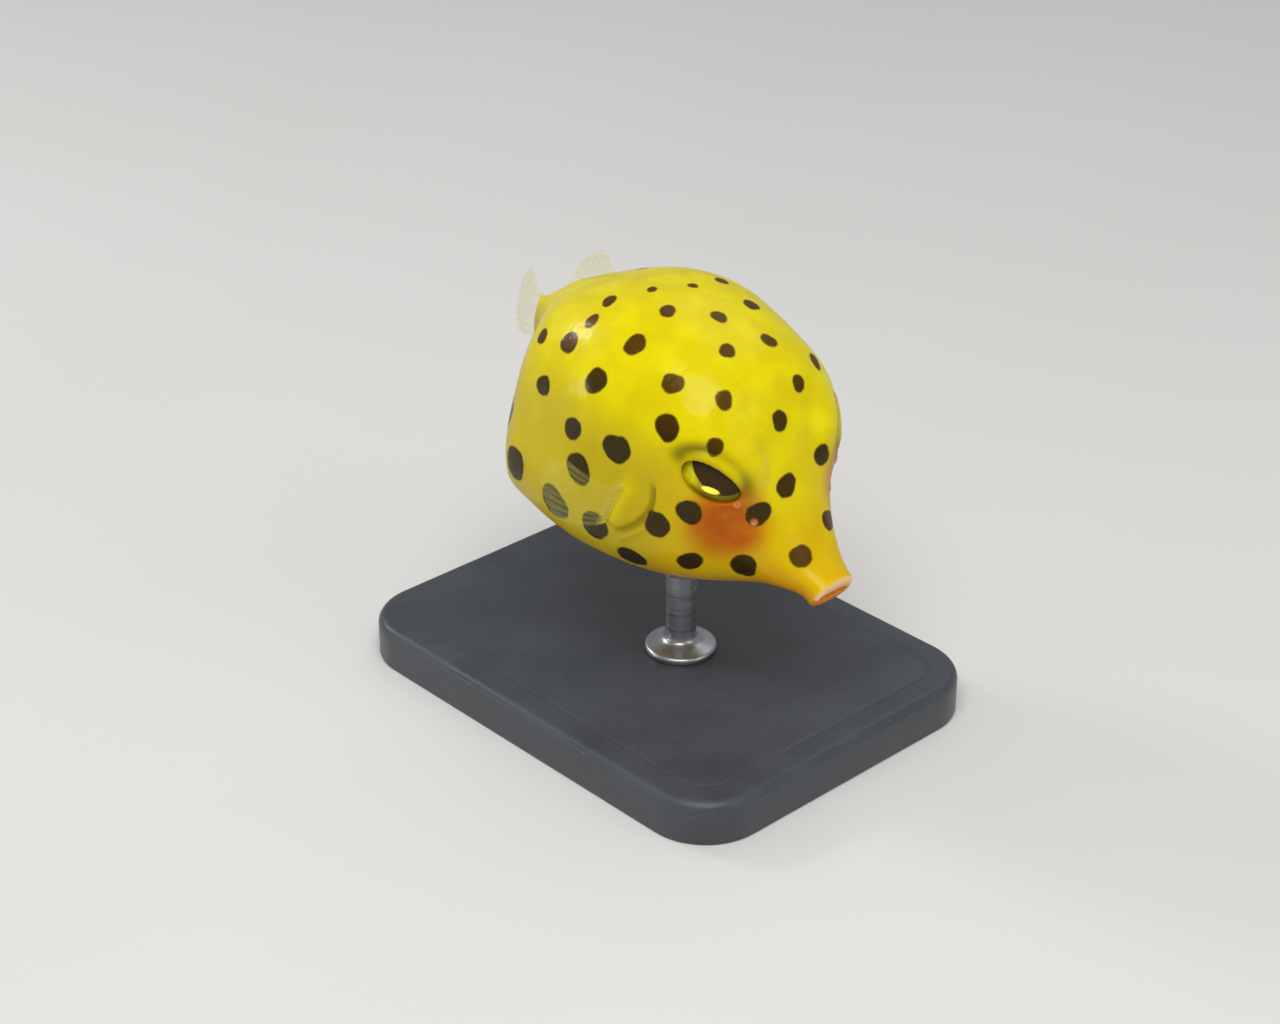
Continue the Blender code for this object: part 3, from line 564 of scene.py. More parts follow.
marks = {
    # spots of the side in view: back from the lips (mm), turn (degrees), radius (mm)
    "spots": ((17.9, 68, 0.6), (21.2, 117, 0.62), (14.5, 69, 0.68), (16.7, 107, 0.63), (14.2, 91, 0.6),
              (20.9, 128, 0.6), (24.8, 141, 0.65), (10.9, 78, 0.66), (21.5, 139, 0.88), (16.3, 126, 0.83),
              (11.4, 102, 0.65), (9.1, 54, 0.66), (17.3, 145, 0.95), (7.8, 73, 0.64), (12.1, 129, 0.8),
              (22.1, 160, 0.82), (8.8, 120, 0.69), (25.9, 190, 1.2), (6.6, 95, 0.74), (10.6, 144, 0.98),
              (17.8, 169, 0.86), (7.5, 138.3, 0.64), (13.7, 165, 1.15), (5.2, 55, 0.77), (23.0, 206, 1.25),
              (16.5, 186, 1.15), (4.4, 105, 0.9), (18.1, 209, 1.35), (7.6, 176, 1.0), (4.5, 143, 0.94),
              (2.75, 48, 0.8), (9.4, 193, 1.05), (14.3, 209, 1.25), (1.72, 120.5, 0.85), (11.5, 220, 1.2),
              (7.3, 212, 0.96), (4.4, 203, 1.05), (19.5, 101, 0.4), (18.0, 85, 0.4)),
    "seenFrom": (0.62, -0.60, 0.50),  # direction in the fish's frame from which those spots are seen
    "seed": 21, "wobble": (0.08, 0.04),
    # the spots out of view: tries, stretch of the body, radius on the flanks, how much less it is on the
    # back and the belly and the sines of the turn where these begin, its variation, room to the other
    # spots' edges and to the eyes, and how far they may face the view
    "hidden": {"tries": 6000, "stretch": (2.6, 28.6), "radius": 1.12, "lessAbove": 0.48, "lessBelow": 0.2,
               "above": (0.2, 0.9), "below": (0.7, 1.0), "vary": (0.85, 1.12), "clearance": 2.5,
               "eyeRoom": 4.3, "facing": 0.06},
    "flush": (5.7, 172.0, 4.1, 1.6),  # the orange flush under the eye: back, turn, outer and inner radius
}


def hiddenSpots():
    # the side out of view: places drawn at random over the body, kept where no other spot is near;
    # spots are larger on the flanks than on the back
    draw = np.random.default_rng(marks["seed"])
    hidden = marks["hidden"]
    back = draw.uniform(*hidden["stretch"], hidden["tries"])
    turn = draw.uniform(0, 2 * np.pi, hidden["tries"])
    places = bodyPoint(back, turn)
    facing = bodyNormal(back, turn) @ unit(np.array(marks["seenFrom"]))
    size = hidden["radius"] - hidden["lessAbove"] * ease(np.sin(turn), *hidden["above"])
    size = size - hidden["lessBelow"] * ease(-np.sin(turn), *hidden["below"])
    size = size * draw.uniform(*hidden["vary"], hidden["tries"])
    for side in (1, -1):
        centre, _ = eyeFrame(side)
        facing[np.linalg.norm(places - centre, axis=-1) < hidden["eyeRoom"]] = 1
    kept = [bodyPoint(b, math.radians(t)) for b, t, _ in marks["spots"]]
    radii = [r for _, _, r in marks["spots"]]
    added = []
    for at, look, radius in zip(places, facing, size):
        room = np.linalg.norm(np.array(kept) - at, axis=-1) - np.array(radii)
        if look < hidden["facing"] and room.min() > hidden["clearance"]:
            kept.append(at)
            radii.append(radius)
            added.append((at, radius))
    return added


def spotField(points):
    # signed distance in mm from each point to the nearest spot's edge, which wavers as two cosines
    draw = np.random.default_rng(marks["seed"] + 1)
    spots = [(bodyPoint(b, math.radians(t)), r) for b, t, r in marks["spots"]] + hiddenSpots()
    field = np.full(points.shape[:-1], 9.0)
    for at, radius in spots:
        away = points - swellRoundEyes(at[None, :])[0]
        out = unit(at)
        flat = np.array([draw.normal(), draw.normal(), draw.normal()])
        flat = unit(flat - flat @ out * out)
        other = np.cross(flat, out)
        angle = np.arctan2(away @ other, away @ flat)
        phase = draw.uniform(0, 6.28, 2)
        two, three = marks["wobble"]
        edge = radius * (1 + two * np.cos(2 * angle + phase[0]) + three * np.cos(3 * angle + phase[1]))
        field = np.minimum(field, np.linalg.norm(away, axis=-1) - edge)
    print("spots:", len(spots))
    return field


tints = {
    # each comes in between two values of the skin's upward tilt or of the distance back, in mm
    # the upward tilt over which the spots turn lighter on the back: painted light
    "upper": (0.2, 0.8),
    # painted shade: the flanks darker and greener where the skin faces sideways and down, more behind the
    # gills and towards the rear
    "flank": {"tilt": (0.5, 0.0), "gills": (6.5, 11.0), "rear": (19.0, 26.0), "shares": (0.8, 0.2)},
    # painted warm reflected light: warmer at the snout and on the underside of the head
    "warmReflectedLight": {"snout": (5.5, 1.5), "tilt": (0.55, -0.3), "cheek": (13.0, 7.0), "shares": (0.5, 0.5)},
    # painted shade: darker and more orange where the skin faces down, most under the head
    "low": {"tilt": (-0.3, -0.9), "cheek": (15.0, 6.0), "shares": (0.4, 0.6), "whole": 0.8},
    # colours on a screen, 0 to 255
    "yellow": ((226, 206, 0), (238, 222, 0)),
    # colours of the painted shade on the flanks, the underside, in the creases and at the eyes' edges, of the
    # painted warm reflected light, and the lobe's plain yellow
    "broad": {"flank": (192, 168, 0), "warmReflectedLight": (214, 150, 2), "low": (190, 108, 4), "creaseShade": (112, 104, 4),
              "rim": (128, 84, 4), "lobe": (228, 208, 4)},
    "flush": (192, 84, 0),
    # spots: dark on the flanks, lighter on the back as painted light, and the flecks in them
    "spots": ((38, 22, 0), (80, 50, 0), (98, 66, 2)),  # on the flanks, on the back, and the flecks in them
    "small": {"lips": (255, 208, 148), "under": (222, 124, 22), "nostril": (240, 152, 104),
              # the inside of the mouth is painted dark: painted shade in its pocket
              "mouth": (70, 24, 12)},
}


def broadTints(points, up):
    # shares from 0 to 1: products and sums of smooth steps of the tilt and of the distance back
    backOf = body["station"] - points[..., 0]
    flank, warmReflectedLight, low = tints["flank"], tints["warmReflectedLight"], tints["low"]
    # upper: spots lighter where the skin faces up, as painted light
    values = {"upper": ease(up, *tints["upper"])}
    front, rear = flank["shares"]
    along = front * ease(backOf, *flank["gills"]) + rear * ease(backOf, *flank["rear"])
    # painted shade on the flanks
    values["flank"] = ease(up, *flank["tilt"]) * along
    snout, under = warmReflectedLight["shares"]
    underside = ease(up, *warmReflectedLight["tilt"]) * ease(backOf, *warmReflectedLight["cheek"])
    # painted warm reflected light at the snout and under the head
    values["warmReflectedLight"] = snout * ease(backOf, *warmReflectedLight["snout"]) + under * underside
    plain, front = low["shares"]
    # painted shade on the underside
    values["low"] = low["whole"] * ease(up, *low["tilt"]) * (plain + front * ease(backOf, *low["cheek"]))
    back, turn, outer, inner = marks["flush"]
    middle = bodyPoint(back, math.radians(turn))
    away = [np.linalg.norm(points - middle * (1, side, 1), axis=-1) for side in (1, -1)]
    values["flush"] = ease(away[0], outer, inner) + ease(away[1], outer, inner)
    return values


def skinMaterial():
    # wet yellow skin: dark crisp spots, lighter on the back as painted light; darker, greener flanks and a
    # darker underside as painted shade; a warmer snout and underside as painted warm reflected light; painted
    # shade in the creases and round the eyes' openings; an orange flush under the eye
    material, tree, shader = newMaterial(
        "boxfishSkin", Roughness=0.4, Specular_IOR_Level=0.25, Specular_Tint=linear(255, 244, 90),
        Coat_Weight=0.22, Coat_Roughness=0.14,
        Subsurface_Weight=0.15, Subsurface_Scale=1.0 * mm, Subsurface_Radius=(1.0, 0.6, 0.1))
    where = placeOf(tree)
    color = mix(tree, ramp(tree, noise(tree, 0.4, 4, where), 0.35, 0.7), *tints["yellow"])
    # painted shade on the flanks, the underside, in the creases and round the eyes' openings, and painted
    # warm reflected light at the snout and under the head
    for key, shade in tints["broad"].items():
        color = mix(tree, attribute(tree, key), color, shade)
    patchy = ramp(tree, noise(tree, 0.8, 3, where), 0.25, 0.7, 0.85, 1.0)
    flush = maths(tree, "MULTIPLY", attribute(tree, "flush"), patchy)
    color = mix(tree, flush, color, tints["flush"])
    waver = ramp(tree, noise(tree, 1.5, 1, where), 0.25, 0.75, -0.04, 0.04)
    inside = ramp(tree, maths(tree, "ADD", attribute(tree, "spots"), waver), 0.1, -0.09)
    # spots are painted lighter where the skin faces up: painted light
    onFlank, litOnBack, fleck = tints["spots"]
    brown = mix(tree, attribute(tree, "upper"), onFlank, litOnBack)
    flecks = ramp(tree, noise(tree, 5.0, 2, where), 0.4, 0.8, 0.0, 0.25)
    color = mix(tree, inside, color, mix(tree, flecks, brown, fleck))
    # the mouth's dark colour is painted shade
    for key, shade in tints["small"].items():
        color = mix(tree, attribute(tree, key), color, shade)
    grain = bump(tree, noise(tree, 4.5, 3, where), 0.1, 0.08)
    plates = addNode(tree, "ShaderNodeTexVoronoi", {"Vector": where, "Scale": 0.5, "Randomness": 0.35},
                     feature="DISTANCE_TO_EDGE").outputs["Distance"]
    seams = bump(tree, ramp(tree, plates, 0.0, 0.14), 0.1, 0.05, grain)
    dimples = bump(tree, noise(tree, 0.8, 2, where), 0.18, 0.25, seams)
    wire(tree, shader, Base_Color=color, Normal=dimples, Coat_Normal=dimples)
    return material


def makeSkin():
    # one skin over the rings of mouth, lips, body and tail root: swollen round the eyes, raised by the
    # relief along its normals, and opened over the eyeballs
    turns = skinTurns()
    backs = spread(skin["lipBack"], body["end"], skin["bodyRings"], skin["ringPlaces"], skin["ringCloseness"])
    inMouth, lips, root = mouthRings(turns), lipRings(turns), tailRootRings(turns)
    trunk = bodyPoint(backs[:, None], turns[None, :])
    rear = ease(backs, *skin["bothTo"])
    swell = ease(backs, *skin["swellFrom"]) * rear
    trunk = trunk + (swellRoundEyes(trunk) - trunk) * swell[:, None, None]
    rings = np.concatenate([inMouth, lips, trunk, root])
    first = len(inMouth) + len(lips)
    normals = gridNormals(rings)
    normals *= -np.sign(normals[first + len(backs) // 2, 0, 2])  # down on the belly
    rise, masks = skinRelief(rings)
    whole = np.zeros(len(rings))
    whole[first:first + len(backs)] = ease(backs, *skin["reliefFrom"]) * rear
    rings = rings + normals * (rise * whole[:, None])[..., None]
    inwards = first - np.arange(len(rings))[:, None] + 0 * turns  # rings in from the lips' outer edge
    values = {"spots": np.where(inwards > -skin["spotless"], 2.0, spotField(rings))}
    values.update(broadTints(rings, normals[..., 2]), **masks)
    onLip = ease(inwards, *skin["lipFade"])
    upperLip = ease(np.sin(turns), *skin["lipParting"])
    values["lips"] = onLip * upperLip
    values["under"] = onLip * (1 - upperLip)
    # the inside of the mouth, painted dark as painted shade
    values["mouth"] = ease(inwards, *skin["mouthFade"])
    piece = tubePiece("skin", openEyes(rings), values)
    finish(piece, skinMaterial(), "skin", "head", "trunk", "tail_peduncle", "lip_upper", "lip_lower")


makeSkin()
print("skin made")


# The eyeballs and their clear corneas

ball = {
    "radius": 3.35, "bulge": 1.84, "back": 1.1, "cornea": 0.1,
    # the pupil: its two corners, its height over the line between them and its depth below it, each with
    # the power that rounds it, and the lean of the lower bow
    "pupil": {"left": (-1.95, 0.42), "right": (2.12, 0.35), "rise": (0.74, 0.6), "drop": (1.2, 0.62),
              "skew": 0.12},
    # the painted glint under the pupil, a gold ellipse that glows a little: middle, turn and half size
    "bow": {"Location": (0.33, -0.74, 0), "Rotation": (0, 0, 0.25), "Scale": (0.68, 0.25, 1)},
    # the iris, and the colours it turns to over a range of the place up the eye or along it, as painted shade
    # of the lids at its lower, front and rear edges, and over a range of its streaks
    "iris": (222, 212, 8),
    "irisShadesAndStreaks": (("up", -0.95, -1.6, 1.0, (124, 96, 8)), ("along", -1.3, 0.2, 0.85, (100, 80, 8)),
                  ("along", -2.35, -2.8, 1.0, (130, 116, 8)), ("streaks", 0.4, 0.7, 0.35, (140, 136, 10))),
    "dark": (58, 38, 5), "paintedGlint": (255, 244, 84), "glintGlow": 0.35,
}


def lensRings(grow, fineness):
    # rings of a flattened ball about the eye's axis, from near the middle of its front to that of its back
    t = np.linspace(0.02, 0.98, fineness)[:, None] * np.pi
    a = np.linspace(0, 2 * np.pi, 2 * fineness, endpoint=False)[None, :]
    radius = (ball["radius"] + grow) * np.sin(t)
    front, back = ball["bulge"] + grow, ball["back"]
    height = np.where(np.cos(t) > 0, front, back) * np.cos(t)
    return radius * np.cos(a), radius * np.sin(a), height + 0 * a


def pupilField(e, f):
    # signed distance to the pupil: a flat arch over a deeper, skewed bow
    p = ball["pupil"]
    (leftE, leftF), (rightE, rightF) = p["left"], p["right"]
    t = (2 * e - leftE - rightE) / (rightE - leftE)
    line = (leftF + rightF) / 2 + t * (rightF - leftF) / 2
    bow = np.maximum(1 - t * t, 0)
    skewed = t - p["skew"] * bow
    (rise, flat), (drop, deep) = p["rise"], p["drop"]
    upper = line + rise * bow**flat - f
    lower = f - line + drop * np.maximum(1 - skewed**2, 0) ** deep
    inside = np.minimum(upper, lower)
    beyond = np.maximum(leftE - e, e - rightE)
    return np.where(beyond > 0, np.maximum(beyond, -inside), -inside)


def eyePlane(tree):
    # the eye's own UV map, which is the place along and up its opening, in mm
    return addNode(tree, "ShaderNodeUVMap", uv_map="UVMap").outputs[0]


def ballMaterial():
    # dark pupil in a yellow-green iris, darkened to olive at its rim by painted shade of the lids, with a
    # painted glint under the pupil that glows a little
    # the emission colour makes the painted glint glow
    material, tree, shader = newMaterial("boxfishEye", Roughness=0.3, Specular_IOR_Level=0.05,
                                         Emission_Color=linear(255, 240, 70))
    uv = eyePlane(tree)
    split = addNode(tree, "ShaderNodeSeparateXYZ", {0: uv})
    fields = {"along": split.outputs[0], "up": split.outputs[1], "streaks": noise(tree, 4.0, 4.0, uv)}
    color = ball["iris"]
    # painted shade of the lids darkens the iris towards its lower, front and rear edges; the streaks are its
    # own
    for field, start, end, share, shade in ball["irisShadesAndStreaks"]:
        color = mix(tree, ramp(tree, fields[field], start, end, 0.0, share), color, shade)
    color = mix(tree, ramp(tree, attribute(tree, "pupil"), 0.04, -0.06), color, ball["dark"])
    # the painted glint: a gold ellipse under the pupil, made to glow by emission
    bow = addNode(tree, "ShaderNodeMapping", {"Vector": uv, **ball["bow"]}, vector_type="TEXTURE")
    fromGlint = addNode(tree, "ShaderNodeVectorMath", {0: bow.outputs[0]}, operation="LENGTH")
    paintedGlint = ramp(tree, fromGlint.outputs["Value"], 1.15, 0.8)
    wire(tree, shader, Base_Color=mix(tree, paintedGlint, color, ball["paintedGlint"]),
         Emission_Strength=maths(tree, "MULTIPLY", paintedGlint, ball["glintGlow"]),
         Normal=bump(tree, fields["streaks"], 0.1, 0.05))
    return material


def corneaMaterial():
    # clear, with a faint warm haze
    material, tree, shader = newMaterial("boxfishCornea", Roughness=0.02, IOR=1.25, Transmission_Weight=1.0)
    haze = ramp(tree, noise(tree, 0.8, 2.0, eyePlane(tree)), 0.3, 0.8)
    wire(tree, shader, Base_Color=mix(tree, haze, (255, 255, 255), (246, 248, 226)))
    return material


def makeEye(side, word, iris, clear):
    # an eyeball and, a little larger, the cornea round it
    centre, axes = eyeFrame(side)
    layers = (("eyeball_", 0, 90, iris), ("cornea_", ball["cornea"], 60, clear))
    for name, grow, fineness, material in layers:
        e, f, g = lensRings(grow, fineness)
        rings = centre + np.stack([e, f, g], axis=-1) @ axes
        values = {"pupil": np.clip(pupilField(e, f), -1, 1)} if grow == 0 else None
        piece = tubePiece(name + word, rings, values, np.stack([e, f], axis=-1))
        if grow == 0:
            finish(piece, material, "eyes", "eye_" + word)
        else:
            finish(piece, material, "eyes")
            piece.visible_shadow = False  # or its shadow would dull the iris


irisMaterial, clearMaterial = ballMaterial(), corneaMaterial()
makeEye(1, "left", irisMaterial, clearMaterial)
makeEye(-1, "right", irisMaterial, clearMaterial)
print("eyes made")


# The fins: thin clear membranes over fine rays

fins = {
    "rows": 44, "perRay": 12, "closer": 1.2,  # rows of points, columns to a ray, the rows' power of spacing
    # thickness of the membrane at root and tip, height of the rays and how much lower they end, the share
    # of the length in which they begin, and the tint of the root and where it ends
    "membrane": (0.16, 0.07), "ridge": 0.12, "lower": 0.7, "begin": 0.12, "tint": (0.75, 0.22),
    "scallop": 0.03,
    # a ray's width and its fork at the tip as shares of the room between rays, and where the fork starts
    "ray": 0.11, "fork": 0.22, "forkFrom": 0.35,
    "segments": {"depth": 0.18, "from": (0.15, 0.3), "count": 90},  # the fine joints along a ray
    "tail": {"rays": 10, "length": 3.0, "halves": (1.7, 2.9), "widening": 0.8, "sway": (0.5, 0.4),
             "rounding": (0.07, 0.2), "root": (32.15, 0.9), "sunk": 0.25, "film": 0.13},
    "dorsal": {"rays": 9, "front": 24.6, "back": 27.6, "lean": (20.0, -28.0), "length": 3.0, "sway": 0.5},
    "anal": {"rays": 9, "front": 24.8, "back": 27.4, "lean": (22.0, -26.0), "length": 2.8, "sway": -0.4},
    # length of the dorsal and anal rays from front to back, as a parabola
    "outline": (0.78, 0.55, -0.62), "film": 0.12, "sunk": 0.15,
    "side": {"rays": 10, "top": (12.3, 0.9), "bottom": (13.3, -2.8), "length": 5.4, "tipHalf": 2.4,
             "outline": (1.0, -0.10, -0.3), "lift": (-0.12, 1.92), "turn": 0.25, "base": (0.12, 0.14),
             "film": 0.03},
}


def finGrid(rays):
    # share along the rays, closer at the root, share across them, and how near each point lies to a ray,
    # as a bell that forks half way out
    u = np.linspace(0, 1, fins["rows"])[:, None] ** fins["closer"]
    v = np.linspace(0, 1, rays * fins["perRay"] + 1)[None, :]
    u, v = np.broadcast_arrays(u, v)
    phase = (rays * v) % 1.0 - 0.5
    fork = fins["fork"] * ease(u, fins["forkFrom"], 1.0)
    ray = np.maximum(bell(phase - fork, fins["ray"]), bell(phase + fork, fins["ray"]))
    joints = fins["segments"]
    wave = 0.5 + 0.5 * np.cos(u * joints["count"])
    return u, v, ray * (1 - joints["depth"] * ease(u, *joints["from"]) * wave)


def finEdge(u, v, rays):
    # the rim is drawn in a little between the rays
    return u * (1 - fins["scallop"] * u * (0.5 + 0.5 * np.cos(2 * np.pi * rays * v)))


def sheetPiece(name, middle, half, values):
    # both faces of a thin sheet, half its thickness out along its normals, joined round its rim
    rows, cols = middle.shape[:2]
    out = unit(np.cross(np.gradient(middle, axis=1), np.gradient(middle, axis=0))) * half[..., None]
    points = toWorld(np.concatenate([(middle + out).reshape(-1, 3), (middle - out).reshape(-1, 3)]))
    front, far = gridQuads(rows, cols, False), rows * cols
    rim = np.concatenate([np.arange(cols - 1), np.arange(rows - 1) * cols + cols - 1,
                          (rows - 1) * cols + np.arange(cols - 1, 0, -1), np.arange(rows - 1, 0, -1) * cols])
    following = np.roll(rim, -1)
    sides = np.stack([rim, far + rim, far + following, following], axis=-1)
    quads = np.concatenate([front, far + front[:, ::-1], sides])
    full = {key: np.concatenate([field.ravel(), field.ravel()]) for key, field in values.items()}
    return meshFrom(name, points, quads, np.zeros((0, 3), int), full)


def finMaterial():
    # nearly clear between the rays, warmer and more solid at the root
    material, tree, shader = newMaterial("boxfishFin", Roughness=0.3, Coat_Weight=0.3,
                                         Coat_Roughness=0.15, IOR=1.36)
    ray, root = attribute(tree, "ray"), attribute(tree, "root")
    color = mix(tree, root, (226, 220, 120), (236, 216, 20))
    color = mix(tree, maths(tree, "MULTIPLY", ray, 0.55), color, (206, 190, 60))
    fleck = noise(tree, 3.0, 3)
    solid = maths(tree, "MAXIMUM", maths(tree, "MULTIPLY", ray, 0.15), root)
    solid = maths(tree, "ADD", solid, attribute(tree, "film"))
    solid = maths(tree, "ADD", solid, ramp(tree, fleck, 0.2, 0.8, 0.0, 0.03))
    wire(tree, shader, Base_Color=color, Alpha=maths(tree, "MINIMUM", solid, 1.0),
         Normal=bump(tree, fleck, 0.15, 0.05))
    return material


def addFin(name, middle, u, ray, node, material, film, base=0.0):
    # a membrane that thins towards its tip, with the rays as ridges that fade in at the root
    root, tip = fins["membrane"]
    ray = ray * ease(u, 0.0, fins["begin"])
    half = (root + (tip - root) * u) / 2 + fins["ridge"] / 2 * ray * (1 - fins["lower"] * u) + base
    tint, end = fins["tint"]
    values = {"ray": ray, "root": tint * ease(u, end, 0.0), "film": film + 0 * u}
    finish(sheetPiece(name, middle, half, values), material, "fins", node)


def makeTailFin(material):
    # a rounded fan behind the tail root, swung a little to one side
    size = fins["tail"]
    u, v, ray = finGrid(size["rays"])
    w = 2 * v - 1
    gentle, sharp = size["rounding"]
    reach = size["length"] * (1 - gentle * w**2 - sharp * w**4)
    back, middle = size["root"]
    x = body["station"] - back - (reach + size["sunk"]) * finEdge(u, v, size["rays"])
    halfRoot, halfTip = size["halves"]
    z = middle + w * (halfRoot + (halfTip - halfRoot) * u ** size["widening"])
    sway, more = size["sway"]
    y = sway * u**2 * (1 + more * w)
    addFin("caudalFin", np.stack([x, y, z], axis=-1), u, ray, "caudal_fin", material, size["film"])


def makeMidlineFin(name, size, up, node, material):
    # a fan that leans back from the midline of the back or of the belly
    u, v, ray = finGrid(size["rays"])
    root = bodyPoint(size["front"] + (size["back"] - size["front"]) * v, up * math.pi / 2)
    lean = np.radians(size["lean"][0] + (size["lean"][1] - size["lean"][0]) * v)
    front, rise, fall = fins["outline"]
    reach = size["length"] * (front + rise * v + fall * v**2) * finEdge(u, v, size["rays"])
    x = root[..., 0] - reach * np.cos(lean)
    z = root[..., 2] + up * (2 * fins["sunk"] * u - fins["sunk"] + reach * np.sin(lean))
    y = size["sway"] * u**2 * np.sin(np.pi * (1 + 4 * v) / 5)
    addFin(name, np.stack([x, y, z], axis=-1), u, ray, node, material, fins["film"])


def makeSideFin(side, word, material):
    # a fan that leaves the flank squarely and bends back along it
    size = fins["side"]
    u, v, ray = finGrid(size["rays"])
    w = 2 * v - 1
    (topBack, top), (bottomBack, bottom) = size["top"], size["bottom"]
    turn = size["turn"]
    whole, slant, rounding = size["outline"]
    run = (1 + turn) * u * u / (u + turn) * finEdge(u, v, size["rays"]) / np.maximum(u, 1e-6)
    back = topBack + (bottomBack - topBack) * v + size["length"] * (whole + slant * w + rounding * w**2) * run
    half = (top - bottom) / 2
    height = (top + bottom) / 2 - w * (half + (size["tipHalf"] - half) * run)
    coarse = slice(None, None, 4)  # the turns are found for every fourth column and filled in between
    some = zip(back[:, coarse], height[:, coarse])
    turns = np.array([[turnAtHeight(b, z) for b, z in zip(*row)] for row in some])
    every = np.arange(v.shape[1])
    turns = np.array([np.interp(every, every[coarse], row) for row in turns])
    sunk, rise = size["lift"]
    lift = sunk + rise * (1 - (1 - u) ** 4)
    middle = bodyPoint(back, turns) + bodyNormal(back, turns) * lift[..., None]
    thick, length = size["base"]
    base = thick * bell(u, length) * (1 - w**4 / 2)
    middle = middle * (1, side, 1)
    addFin("pectoralFin_" + word, middle, u, ray, "pectoral_fin_" + word, material, size["film"], base)


clearFin = finMaterial()
makeTailFin(clearFin)
makeMidlineFin("dorsalFin", fins["dorsal"], 1, "dorsal_fin", clearFin)
makeMidlineFin("analFin", fins["anal"], -1, "anal_fin", clearFin)
makeSideFin(1, "left", clearFin)
makeSideFin(-1, "right", clearFin)
print("fins made")


# The stand: a slate-grey slab and a brushed rod with a lined cup

stand = {
    "base": (40.0, 30.0, 3.5), "corner": 5.0, "leastCorner": 0.4, "edge": 0.8,
    "under": ((12.0, 0.0), (1.0, 0.0), (0.25, 0.0), (0.07, 0.07), (0.0, 0.25)),  # inset and height
    # inset and depth of the fine groove and of the rings that fill the top
    "groove": ((2.1, 0.0), (2.24, 0.02), (2.4, 0.12), (2.56, 0.02), (2.7, 0.0), (7.0, 0.0), (13.0, 0.0)),
    "rodAt": (2.0, 0.0), "rod": 1.2,
    "flange": ((0.6, 0.0), (2.7, 0.0), (2.8, 0.1), (2.8, 0.42), (2.68, 0.55)),  # radius, height on the base
    "foot": (2.6, 0.58, 0.9),  # the rod widens to its flange: radius, height on the base, length
    "neck": (2.4, 10.3, 1.4), "plain": 9.7,  # and to its cup, from the floor, over the plain rod's end
    # circles that follow the belly: radius, drop below the skin
    "cup": ((2.4, 0.42), (2.4, 0.36), (2.34, 0.3), (2.0, 0.3), (0.8, 0.3)),
    "pad": ((0.6, 0.32), (1.6, 0.32), (2.2, 0.32), (2.28, 0.22), (2.28, 0.05), (2.2, -0.05),
            (1.6, -0.05), (0.6, -0.05)),
    "fit": {"stretch": (6, 22), "reach": 4.0},  # where the belly is fitted: back, and round the rod
}


def worldTube(name, rings):
    # a closed tube given in world millimetres, turned back into the fish's frame
    c, s = math.cos(pose["noseDown"]), math.sin(pose["noseDown"])
    moved = rings - pose["at"]
    x, y, z = moved[..., 0], moved[..., 1], moved[..., 2]
    return tubePiece(name, np.stack([x * c - z * s, y, z * c + x * s], axis=-1))


def slabRing(inset):
    # outline of a rectangle with round corners, drawn in by an inset
    length, width, _ = stand["base"]
    radius = max(stand["corner"] - inset, stand["leastCorner"])
    a = np.linspace(0, 2 * np.pi, 160, endpoint=False) + 0.0001  # no point midway between two corners
    x = np.sign(np.cos(a)) * (length / 2 - inset - radius) + radius * np.cos(a)
    y = np.sign(np.sin(a)) * (width / 2 - inset - radius) + radius * np.sin(a)
    return np.stack([x, y], axis=-1)


def makeBase(material):
    # a profile of inset and height carried round the outline: foot, wall, rounded edge, groove, top
    height, edge = stand["base"][2], stand["edge"]
    profile = list(stand["under"])
    for a in np.linspace(0, np.pi / 2, 9):
        profile.append((edge * (1 - math.cos(a)), height - edge * (1 - math.sin(a))))
    profile += [(inset, height - depth) for inset, depth in stand["groove"]]
    rings = []
    for inset, z in profile:
        ring = slabRing(inset)
        rings.append(np.column_stack([ring, np.full(len(ring), z)]))
    finish(worldTube("standBase", np.array(rings)), material, "stand_base", "stand_base")


def powersOf(x, y):
    # all products of powers of x and y up to the third degree
    return np.stack([x**i * y**j for i in range(4) for j in range(4 - i)], axis=-1)


def bellyFit():
    # the height of the skin's underside round the rod, as a polynomial fitted by least squares
    back = np.linspace(*stand["fit"]["stretch"], 120)[:, None]
    turn = np.linspace(np.pi, 2 * np.pi, 120)[None, :]
    below = toWorld(bodyPoint(back, turn)).reshape(-1, 3) / mm - (*stand["rodAt"], 0)
    below = below[np.hypot(below[:, 0], below[:, 1]) < stand["fit"]["reach"]]
    return np.linalg.lstsq(powersOf(below[:, 0], below[:, 1]), below[:, 2], rcond=None)[0]


def roundRings(pairs, belly=None):
    # level circles of radius and height, or, over a fitted belly, circles of radius and drop below it
    a = np.linspace(0, 2 * np.pi, 72, endpoint=False)
    rings = []
    for radius, value in pairs:
        x, y = radius * np.cos(a), radius * np.sin(a)
        z = np.full(len(a), value) if belly is None else powersOf(x, y) @ belly - value
        rings.append(np.stack([x, y, z], axis=-1) + (*stand["rodAt"], 0))
    return rings


def makeRod(steel, liner):
    # a turned profile of flange, rod and widening neck, under a cup that follows the belly, with its pad
    rod, bottom = stand["rod"], stand["base"][2]
    profile = [(radius, bottom + z) for radius, z in stand["flange"]]
    radius, z, length = stand["foot"]
    for q in np.linspace(0, 1, 10):
        profile.append((rod + (radius - rod) * (1 - q) ** 3, bottom + z + length * q))
    radius, z, length = stand["neck"]
    profile.append((rod, stand["plain"]))
    profile += [(rod + (radius - rod) * q**2, z + length * q) for q in np.linspace(0, 1, 12)]
    belly = bellyFit()
    piece = worldTube("standRod", np.array(roundRings(profile) + roundRings(stand["cup"], belly)))
    finish(piece, steel, "stand_rod", "stand_rod")
    piece = worldTube("standPad", np.array(roundRings(stand["pad"], belly)))
    finish(piece, liner, "stand_base")


